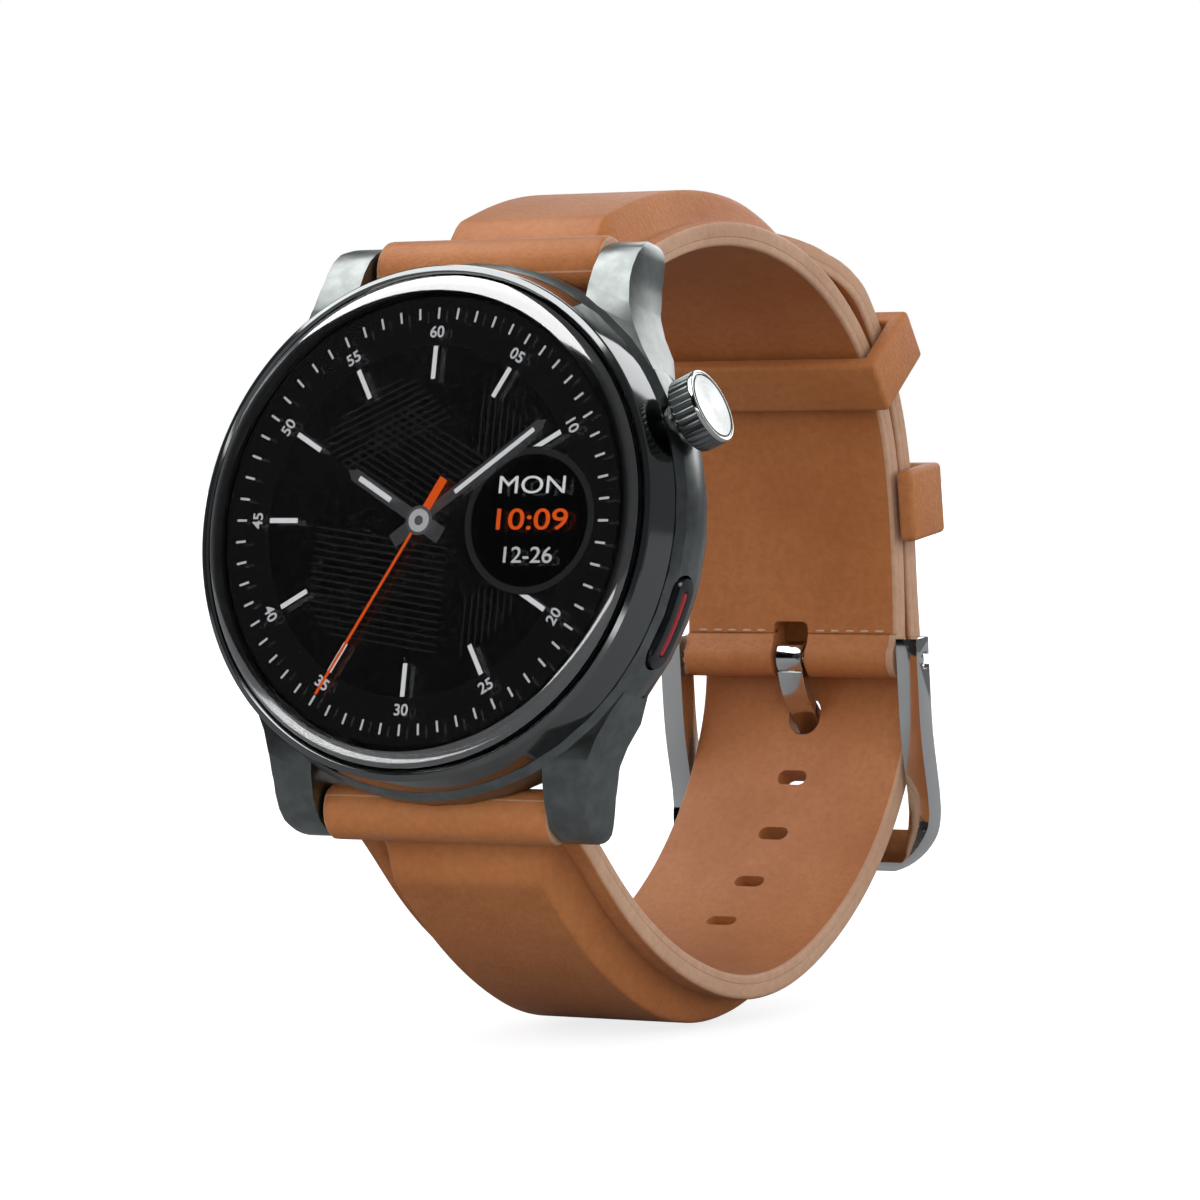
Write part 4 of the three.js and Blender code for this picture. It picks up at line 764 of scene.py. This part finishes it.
def crown_face_material():
    """Fine turning lines round the crown's end, laid along its own UV, with painted light and dark wedges
    round the turn for the spun face's reflections.
    """
    material, tree, shader = new_material("spun_crown_end_painted_wedges", {"Metallic": 1, "Anisotropic": 0.85})
    tangent = add(tree, "Tangent")
    tangent.direction_type = "UV_MAP"
    tangent.uv_map = "turn"
    link(tree, tangent.outputs["Tangent"], shader.inputs["Tangent"])
    uv = add(tree, "UVMap")
    uv.uv_map = "turn"
    # painted reflection: the lines also change slowly round the turn, so the colour runs in light and dark
    # wedges like the reflections on a spun face
    mapping = add(tree, "Mapping", Scale=(2, 34, 1))
    link(tree, uv.outputs["UV"], mapping.inputs["Vector"])
    lines = noise(tree, 1, 2, 0.5, source=mapping.outputs["Vector"])
    link(tree, mixed(tree, lines, (0.22, 0.235, 0.235), (0.5, 0.52, 0.51)), shader.inputs["Base Color"])
    link(tree, ramp(tree, lines, 0.3, 0.7, 0.16, 0.3), shader.inputs["Roughness"])
    bump(tree, shader, lines, 0.3, 0.000008)
    return material


RIDGES, RIDGE_DEPTH, RIDGE_STEPS, RIDGE_SHAPE = 30, 0.24 * MM, 8, 1.6
CROWN_FOOT, CROWN_LIP = 0.9, 0.34 * MM  # share of the radius at the inner end, and depth of the polished rim
# Rings of the knurled part: [share of its length, share of its radius, share of the ridges' depth]
CROWN_ROWS = [(0.06, 0.955, 0.4), (0.14, 0.99, 1), (0.93, 1.0, 1), (1.0, 0.965, 0.5), (1.0, 0.93, 0)]


def crown_knob():
    """A disc drawn out ring by ring, with grooves that fade in and out at its ends."""
    place = joint_frame("crown_turn_hinge")
    inner, outer, radius = along("crown_knob", place)
    length = outer - CROWN_LIP - inner
    mesh = bmesh.new()
    bmesh.ops.create_circle(mesh, cap_ends=True, radius=radius * CROWN_FOOT, segments=RIDGES * RIDGE_STEPS,
                            matrix=Matrix.Translation((0, 0, inner)))
    top = list(mesh.faces)
    for row, (share, scale, ridged) in enumerate(CROWN_ROWS):
        made = bmesh.ops.extrude_face_region(mesh, geom=top)
        if row:  # the first disc stays, to close the inner end
            bmesh.ops.delete(mesh, geom=top, context="FACES_ONLY")
        for v in made["geom"]:
            if isinstance(v, bmesh.types.BMVert):
                flat = Vector((v.co.x, v.co.y, 0)).normalized()
                turn = Vector((1, 0)).angle_signed(flat.xy, 0.0)
                depth = RIDGE_DEPTH * ridged * (0.5 - 0.5 * cos(RIDGES * turn)) ** RIDGE_SHAPE
                v.co = flat * (radius * scale - depth) + Vector((0, 0, inner + length * share))
        top = [f for f in made["geom"] if isinstance(f, bmesh.types.BMFace)]
    mesh.transform(place)
    metal = look["case_metal"]
    piece = finish_mesh(mesh, "crown_ridged", metal, "crown_turn", angle=radians(32))
    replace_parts(piece, "crown_knob")


def crown_part(name, profile, joined, material):
    """A round piece about the crown's axis from [radius, distance along] points."""
    mesh = turned([(r, 0, h) for r, h in profile], (0, 0, 1), 96, joined)
    turn_uv(mesh)
    mesh.transform(joint_frame("crown_turn_hinge"))
    return finish_mesh(mesh, name, material, "crown_turn", angle=radians(40))


def crown_end():
    """The polished rim, and the spun disc set in it."""
    place = joint_frame("crown_turn_hinge")
    _, outer, radius = along("crown_knob", place)
    _, top, cap = along("crown_cap", place)
    rim = [(cap + 0.02 * MM, outer - 0.5 * MM), (cap + 0.02 * MM, outer - 0.06 * MM)]
    rim += arc(((cap + radius) / 2, outer - 0.14 * MM), 0.14 * MM, 150, 20, 8)
    rim += [(radius * 0.975, outer - 0.36 * MM), (radius * 0.93, outer - 0.5 * MM)]
    face = [(0, top - 0.1 * MM), (1.4 * MM, top - 0.09 * MM), (cap - 0.3 * MM, top - 0.03 * MM),
            (cap - 0.16 * MM, top - 0.02 * MM), (cap - 0.06 * MM, top - 0.1 * MM),
            (cap - 0.04 * MM, top - 0.34 * MM), (0, top - 0.34 * MM)]
    crown_part("crown_rim_look", rim, True, look["polished_steel"])
    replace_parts(crown_part("crown_end_look", face, False, crown_face_material()), "crown_cap")


# ---- Strap routes, read from the wrist side of the CAD linings ----

STRAP_HALF = 11 * MM
LINING_START = 2.8 * MM  # how far along the strap its lining starts
ROLL = 2.4 * MM
NEAR_ROUND = 0.9995  # stops just short of a round end, so the end has a face
STRAP_SHARP = radians(50)
STATION = 1.5 * MM  # how far apart a route's points are
CLEAR_OF_HOLES = 2.5 * MM  # where across the strap its side outline is read
CORNER = radians(60)  # a sharper turn than this is an end of the lining


def side_outline(node, x):
    """The closed outline, in (Y, Z) of the watch, where a plane across the watch cuts a CAD node."""
    mesh = bmesh.new()
    mesh.from_mesh(frame["nodes"][node].data)
    mesh.transform(WATCH.inverted() @ frame["nodes"][node].matrix_world)
    weld(mesh, 2e-6)
    bmesh.ops.bisect_plane(
        mesh, geom=list(mesh.verts) + list(mesh.edges) + list(mesh.faces), plane_co=(x, 0, 0),
        plane_no=(1, 0, 0), clear_inner=True, clear_outer=True,
    )
    weld(mesh, 2e-6)
    walk, seen = [], set()
    ahead = mesh.verts[:][:1]
    while ahead:
        walk.append(ahead[0])
        seen.add(ahead[0])
        beside = [e.other_vert(walk[-1]) for e in walk[-1].link_edges]
        ahead = [v for v in beside if v not in seen]
    points = [Vector((v.co.y, v.co.z)) for v in walk]
    mesh.free()
    return points


def chain_length(points):
    return sum((b - a).length for a, b in zip(points, points[1:]))


def resample(points, step):
    """The same line with its points at even distances."""
    total = chain_length(points)
    count = max(2, round(total / step))
    made, reached, index = [points[0].copy()], 0.0, 0
    for i in range(1, count):
        target = total * i / count
        while reached + (points[index + 1] - points[index]).length < target:
            reached += (points[index + 1] - points[index]).length
            index += 1
        piece = points[index + 1] - points[index]
        made.append(points[index] + piece * ((target - reached) / piece.length))
    return made + [points[-1].copy()]


def wrist_line(node):
    """The wrist side of a lining, from the spring bar to its end."""
    loop = side_outline(node, CLEAR_OF_HOLES)
    count = len(loop)
    corners = []
    for i in range(count):
        before, after = loop[i] - loop[i - 1], loop[(i + 1) % count] - loop[i]
        if before.length > 1e-9 and after.length > 1e-9 and abs(before.angle_signed(after, 0)) > CORNER:
            corners.append(i)
    chains = []
    for a, b in zip(corners, corners[1:] + [corners[0] + count]):
        chains.append([loop[i % count] for i in range(a, b + 1)])
    long_ones = sorted(chains, key=chain_length)[-2:]
    line = min(long_ones, key=chain_length)
    bar_depth = span("upper_bar_tube", 1)[0]
    if abs(line[0].x - bar_depth) > abs(line[-1].x - bar_depth):
        line.reverse()
    line = resample(line, STATION)
    for _ in range(3):
        line = [line[0]] + [(a + 2 * b + c) / 4 for a, b, c in zip(line, line[1:], line[2:])] + [line[-1]]
    return line


class Route:
    """Points beside a strap's wrist side, by distance along it and height off the wrist."""

    def __init__(self, node, side):
        self.line = wrist_line(node)
        self.side = side
        self.step = chain_length(self.line) / (len(self.line) - 1)
        self.end = LINING_START + self.step * (len(self.line) - 1)

    def at(self, distance, height):
        place = (distance - LINING_START) / self.step
        last = len(self.line) - 1
        index = min(max(int(place), 0), last - 1)
        t = place - index
        a, b = self.line[index], self.line[index + 1]
        before = self.line[index - 1] if index else a * 2 - b
        after = self.line[index + 2] if index + 2 <= last else b * 2 - a
        m0, m1 = (b - before) / 2, (after - a) / 2
        if t < 0 or t > 1:
            heading = m0 if t < 0 else m1
            point = (a + m0 * t) if t < 0 else (b + m1 * (t - 1))
        else:
            point = (a * (2 * t**3 - 3 * t**2 + 1) + m0 * (t**3 - 2 * t**2 + t)
                     + b * (3 * t**2 - 2 * t**3) + m1 * (t**3 - t**2))
            heading = (a * (6 * t**2 - 6 * t) + m0 * (3 * t**2 - 4 * t + 1)
                       + b * (6 * t - 6 * t**2) + m1 * (3 * t**2 - 2 * t))
        heading = heading.normalized()
        return point + Vector((-heading.y, heading.x)) * height * self.side


upper_route = Route("upper_strap_lining", 1)
lower_route = Route("lower_strap_lining", -1)

# ---- Straps ----

LEATHER_TOP, LINING_TOP = 2.2 * MM, 0.8 * MM  # heights off the wrist side
PAD = {"rise": 2.8 * MM, "from": 1.6 * MM, "full": 6.6 * MM, "fade_from": 26 * MM, "fade_to": 54 * MM}
PAD_FLAT, PAD_EDGE = 7.1 * MM, 8.6 * MM  # across the strap: where the pad starts to fall, and has fallen
VALLEY = {"at": 8.85 * MM, "deep": 0.36 * MM, "wide": 0.36 * MM}  # the dip beside the pad
RIM_LINE = {"at": 10.5 * MM, "deep": 0.09 * MM, "wide": 0.12 * MM}  # the pressed line by the edge
PRESSED_FROM, PRESSED_FULL, PRESSED_FADE = 2 * MM, 7 * MM, 0.6
ROLL_FROM, ROLL_TO, ROLL_SINKS = 0.9 * MM, 4 * MM, 1.6 * MM  # how the roll at the bar runs into the strap
FOLD_RADIUS, FOLD_DEPTH, FOLD_START = 1.85 * MM, 1.05 * MM, 2.35 * MM
TIP_ROUND, TIP_BLUNT = 9 * MM, 0.006
HOLE_PITCH, USED_HOLE, HOLES_BEFORE, HOLES_AFTER = 6.3 * MM, 77.2 * MM, 4, 2
HOLE_SIZE, USED_HOLE_SIZE = (3.0 * MM, 1.5 * MM), (3.3 * MM, 3.8 * MM)  # across and along the strap
SLOT_SIZE, SLOT_ROUND, SLOT_SHIFT = (3.6 * MM, 7.2 * MM, 12 * MM), 0.6 * MM, 0.2 * MM
CUT_HEIGHT = 9 * MM
UPPER_LENGTH = upper_route.end + FOLD_START
LOWER_LENGTH = 126.3 * MM
STITCH = Matrix.Diagonal((0.46 * MM, 0.11 * MM, 0.07 * MM, 1))
STITCHES, STITCH_PITCH, STITCH_GAP, STITCH_LINE = 13, 1.55 * MM, 2.3 * MM, 2.55 * MM


def eased(value, low, high):
    """0 below low, 1 above high, with a soft start and finish between."""
    t = min(1.0, max(0.0, (value - low) / (high - low)))
    return t * t * (3 - 2 * t)


def groove(off, line):
    """How deep a line pressed along the strap is, at a distance from the strap's middle."""
    return line["deep"] * exp(-(((off - line["at"]) / line["wide"]) ** 2))


def outer_height(s, u, fold_at):
    """The outer face's height off the wrist side, at a distance along and across."""
    if s <= 0:
        return ROLL + sqrt(max(0.0, ROLL**2 - s**2))
    off = abs(u)
    fading = eased(s, PAD["fade_from"], PAD["fade_to"])
    rise = PAD["rise"] * eased(s, PAD["from"], PAD["full"]) * (1 - fading)
    firm = eased(s, PRESSED_FROM, PRESSED_FULL) * (1 - PRESSED_FADE * fading)
    height = LEATHER_TOP + rise * (1 - eased(off, PAD_FLAT, PAD_EDGE))
    height -= firm * (groove(off, VALLEY) + groove(off, RIM_LINE))
    if s < ROLL + ROLL_SINKS:
        roll = ROLL + sqrt(max(0.0, ROLL**2 - s**2))
        height = max(height, roll - eased(s, ROLL_FROM, ROLL_TO) * ROLL_SINKS)
    if fold_at:
        fold = FOLD_DEPTH + sqrt(max(0.0, FOLD_RADIUS**2 - (s - fold_at) ** 2))
        if s > fold_at:
            height = fold
        elif s > fold_at - FOLD_RADIUS:
            height = max(height, fold)
    return height


def inner_height(s, fold_at):
    """The height of the leather's inner face, which lies on the lining between the roll and the fold."""
    if s < 0:
        return ROLL - sqrt(max(0.0, ROLL**2 - s**2))
    if fold_at and s > fold_at - FOLD_START:
        bulge = FOLD_DEPTH - sqrt(max(0.0, FOLD_RADIUS**2 - (s - fold_at) ** 2))
        return bulge if s > fold_at else min(0.0, bulge)
    return LINING_TOP + 0.01 * MM if s > LINING_START else 0.0


def half_width(s, length, tip):
    """Half the strap's width, drawn in round its tip."""
    if not tip or s < length - TIP_ROUND:
        return STRAP_HALF
    return STRAP_HALF * sqrt(max(TIP_BLUNT, 1 - ((s - length + TIP_ROUND) / TIP_ROUND) ** 2))


def rounding(radius, steps):
    """[distance from the edge, drop] round a quarter circle, from the edge inwards."""
    return [(radius * (1 - cos(pi / 2 * i / steps)), radius * (1 - sin(pi / 2 * i / steps)))
            for i in range(steps + 1)]


def half_ring(radius, steps, count):
    """[side, distance from the edge, share of the flat, drop] across one face of a strap."""
    corner = [(-1, off, None, drop) for off, drop in rounding(radius, steps)]
    flat = [(0, radius, i / count * 2 - 1, 0.0) for i in range(1, count)]
    return corner + flat + [(1, off, None, drop) for _, off, _, drop in reversed(corner)]


def face_points(ring, half, height_at, other_at, away):
    """Points [across, height] over one face, its corners rounded towards the strap's middle."""
    points = []
    for side, off, share, drop in ring:
        u = share * (half - off) if side == 0 else side * (half - off)
        room = abs(height_at(u) - other_at(u)) * 0.45
        points.append((u, height_at(u) - min(drop, room) * away))
    return points


EDGE_STEPS = 4  # how many steps of the section either side of an edge show the cut leather
SKIN_RINGS = half_ring(0.42 * MM, 6, 110), half_ring(0.04 * MM, 3, 34)
LINING_RINGS = half_ring(0.04 * MM, 6, 40), half_ring(0.3 * MM, 4, 34)


def section_points(rings, half, top, bottom):
    """A strap's closed section: over the outer face from left to right, then back along the wrist side."""
    under = face_points(rings[1], half, lambda u: bottom, top, -1)
    return face_points(rings[0], half, top, lambda u: bottom, 1) + under[::-1]


def strap_body(route, stops, section, outer):
    """A closed strap from a grid that is wrapped round its section and run along its route."""
    rings = [section(s) for s in stops]
    around = len(rings[0])
    mesh = bmesh.new()
    bmesh.ops.create_grid(mesh, x_segments=around, y_segments=len(stops) - 1, size=0.5)
    layer = mesh.loops.layers.uv.new("strap")
    rows, columns = {}, {}
    for v in mesh.verts:
        row = round((v.co.y + 0.5) * (len(stops) - 1))
        x = v.co.x + 0.5
        u, height = rings[row][round(x * around) % around]
        place = route.at(stops[row], height)
        v.co = Vector((u, place.x, place.y))
        rows[v], columns[v] = row, round(x * around)
    for face in mesh.faces:
        for loop in face.loops:
            loop[layer].uv = (loop.vert.co.x / MM, stops[rows[loop.vert]] / MM)
        middle = sum(columns[v] for v in face.verts) / 4
        from_edge = min(abs(middle - outer), middle, around - middle)
        face.material_index = 1 if from_edge < EDGE_STEPS else 0
    weld(mesh, 1e-7)
    bmesh.ops.holes_fill(mesh, edges=[e for e in mesh.edges if len(e.link_faces) == 1], sides=0)
    return mesh


def stops_between(start, end, step, extra):
    """Distances along a strap at about even steps, with the extra ones among them."""
    count = max(2, round((end - start) / step))
    made = [start + (end - start) * i / count for i in range(count + 1)] + list(extra)
    return sorted({round(s, 7) for s in made})


def cutters(shapes):
    """One mesh of closed boxes with rounded corners, each [place, size, corner radius]."""
    mesh = bmesh.new()
    for place, size, round_by in shapes:
        made = bmesh.ops.create_cube(mesh, size=1, matrix=place @ Matrix.Diagonal((*size, 1)))
        tall = [e for e in {e for v in made["verts"] for e in v.link_edges}
                if abs((e.verts[0].co - e.verts[1].co).normalized().dot(place.col[2].xyz.normalized())) > 0.9]
        bmesh.ops.bevel(mesh, geom=tall, offset=round_by, offset_type="OFFSET", segments=6, profile=0.5,
                        affect="EDGES", clamp_overlap=True, material=-1)
    bmesh.ops.recalc_face_normals(mesh, faces=mesh.faces)
    return as_object(mesh, "cutters")


def cut_through(piece, shapes):
    """Cuts the boxes out of a piece, and leaves it smooth but for its sharp edges."""
    cutter = cutters(shapes)
    modifier = piece.modifiers.new("cut", "BOOLEAN")
    modifier.operation = "DIFFERENCE"
    modifier.solver = "EXACT"
    modifier.object = cutter
    result = final_mesh(piece)
    piece.modifiers.clear()
    old = piece.data
    piece.data = result
    bpy.data.meshes.remove(old)
    bpy.data.objects.remove(cutter)
    for polygon in piece.data.polygons:
        polygon.use_smooth = True
    piece.data.set_sharp_from_angle(angle=STRAP_SHARP)


def standing_on(route, s):
    """A place on the strap: X across, Y along it, Z off the wrist, in the row frame."""
    at, ahead = route.at(s, 0), route.at(s + 0.2 * MM, 0)
    heading = (ahead - at).normalized()
    off = Vector((-heading.y, heading.x)) * route.side
    place = Matrix(((1, 0, 0), (0, heading.x, heading.y), (0, off.x, off.y))).transposed().to_4x4()
    return WATCH @ Matrix.Translation((0, at.x, at.y)) @ place


def strap_holes():
    """The oblong holes, with the used one stretched by the tongue."""
    shapes = []
    for i in range(-HOLES_BEFORE, HOLES_AFTER + 1):
        size = HOLE_SIZE if i else USED_HOLE_SIZE
        place = standing_on(lower_route, USED_HOLE + i * HOLE_PITCH)
        shapes.append((place, (*size, CUT_HEIGHT), min(size) / 2 * 0.98))
    return shapes


def tongue_slot():
    """The slot that the tongue swings in, through the fold at the buckle bar."""
    return [(standing_on(upper_route, UPPER_LENGTH + SLOT_SHIFT), SLOT_SIZE, SLOT_ROUND)]


def strap_piece(name, route, stops, section, rings, slot, stands_for, cuts):
    """One layer of a strap, cut through and bent between the case and the loop."""
    mesh = strap_body(route, stops, section, len(rings[0]))
    mesh.transform(WATCH)
    piece = finish_mesh(mesh, name, [look[slot], cut_edge], None, angle=STRAP_SHARP)
    cut_through(piece, cuts)
    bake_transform(piece)
    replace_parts(piece, *stands_for)
    return piece


def make_strap(name, route, length, fold_at, tip, cuts):
    """A strap's leather and its lining, from the roll round the spring bar to the fold or the tip."""
    roll = [-ROLL * NEAR_ROUND * cos(i * pi / 20) for i in range(11)]
    fold = [fold_at + FOLD_RADIUS * NEAR_ROUND * sin(pi / 2 * i / 8) for i in range(9)] if fold_at else []
    tips = [length - TIP_ROUND * (1 - sin(pi / 2 * i / 14)) for i in range(14)] if tip else []
    last = fold_at if fold_at else length - 0.06 * MM
    step = 0.7 * MM

    def leather_section(s):
        half = half_width(s, length, tip)
        bottom = inner_height(s, fold_at)
        return section_points(SKIN_RINGS, half, lambda u: outer_height(s, u, fold_at), bottom)

    def lining_section(s):
        half = half_width(s, length, tip) - 0.01 * MM
        return section_points(LINING_RINGS, half, lambda u: LINING_TOP, 0.0)

    lining_edge = [LINING_START - 0.05 * MM, LINING_START + 0.02 * MM]
    stops = stops_between(0, last, step, roll + fold + tips + lining_edge)
    skin = strap_piece(name + "_leather_skin", route, stops, leather_section, SKIN_RINGS, "leather_tan",
                       (name + "_strap_leather", name + "_strap_padding"), cuts)
    end = fold_at - FOLD_START if fold_at else last
    stops = stops_between(LINING_START + 0.1 * MM, end, step, [s for s in tips if s < end])
    strap_piece(name + "_lining_skin", route, stops, lining_section, LINING_RINGS, "leather_lining",
                (name + "_strap_lining",), cuts)


def stitches():
    """A row of pale stitches across the inside of the upper strap's end, with a gap at the slot."""
    mesh = bmesh.new()
    place = standing_on(upper_route, UPPER_LENGTH - STITCH_LINE)
    for i in range(STITCHES):
        x = (i - (STITCHES - 1) / 2) * STITCH_PITCH
        if abs(x) >= STITCH_GAP:
            shift = Matrix.Translation((x, 0, -0.02 * MM))
            bmesh.ops.create_uvsphere(mesh, u_segments=12, v_segments=8, radius=1.0,
                                      matrix=place @ shift @ STITCH)
    finish_mesh(mesh, "end_stitches", thread, "strap_loop")


# ---- Case ----

PLAIN_SIDE, PLAIN_HALF = 21 * MM, 8 * MM  # the case's side at 9 o'clock, clear of lugs and crown
FLARE = {"height": 10 * MM, "reach": 20 * MM, "slope": 0.85}  # where the lugs' flares are


def sweep_flares(mesh):
    """Draws the back corners of the lugs' flares in to the case's own tapering side."""
    back = WATCH.inverted()
    places = {v: back @ v.co for v in mesh.verts}
    plain_side = [(p.y, hypot(p.x, p.z)) for p in places.values()
                  if p.x < -PLAIN_SIDE and abs(p.z) < PLAIN_HALF]
    for v, p in places.items():
        reach = hypot(p.x, p.z)
        if abs(p.z) > FLARE["slope"] * abs(p.x) or abs(p.z) < FLARE["height"] or reach < FLARE["reach"]:
            continue
        near = min(abs(y - p.y) for y, _ in plain_side)
        limit = max(r for y, r in plain_side if abs(y - p.y) < near + 0.05 * MM)
        if reach > limit:
            v.co = WATCH @ Vector((p.x * limit / reach, p.y, p.z * limit / reach))


# ---- The watch, piece by piece ----

cover_glass()
bezel_ring()
display_picture()
refined("mid_case", "case", 0.13, 3, radians(24), shape=sweep_flares)
crown_knob()
crown_end()
refined("button_cap", "side_button", 0.16, 3, radians(30))
refined("button_accent", "side_button", 0.04, 1, radians(40))
refined("back_cover", "case")
refined("sensor_window", "case", 0.05)
for number in range(1, 5):
    refined(f"back_cover_screw_{number}", "case", 0.05, 1)
for number in range(1, 3):
    refined(f"charge_contact_{number}", "case", 0.08)

make_strap("upper", upper_route, UPPER_LENGTH, UPPER_LENGTH, False, tongue_slot())
make_strap("lower", lower_route, LOWER_LENGTH, None, True, strap_holes())
stitches()
for node, body in (("free_keeper", "sliding_keeper"), ("fixed_keeper", "strap_loop")):
    refined(node, body, 0.5, 4, radians(40), look["leather_tan"])
refined("buckle_frame", "buckle", 0.24, 3, radians(36))
refined("buckle_bar", "buckle", 0.1, 2, radians(40))
refined("buckle_tongue", "tongue", 0.3, 3, radians(40))

# What is left of the CAD shows as it is, each slot in its own look.
replaced = {n for o in scene.objects for n in (o.get("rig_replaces") or [])}
for name, node in frame["nodes"].items():
    if name not in replaced:
        for slot in node.material_slots:
            slot.material = look[slots[name]]

# The "sheen" panels show in reflections only, so that the metal is lit and the leather stays even.
softbox("above", (-0.24, -0.14, 0.58), (0, 0.02, 0), (0.52, 0.38), 0.2, shines=False)
softbox("behind", (0.08, 0.75, 0.25), (0, 0.02, 0.02), (0.72, 0.48), 0.4, shines=False)
softbox("sheen_above", (-0.28, -0.14, 0.57), (0, 0.02, 0), (0.84, 0.56), 6.4, lights=False)
softbox("sheen_behind", (-0.04, 0.75, 0.34), (0, 0.02, 0.02), (0.78, 0.46), 3.0, lights=False)
softbox("low_front", (0.16, -0.6, -0.05), (0, 0.01, 0), (0.5, 0.12), 0.5)
scene.view_settings.view_transform = "Standard"
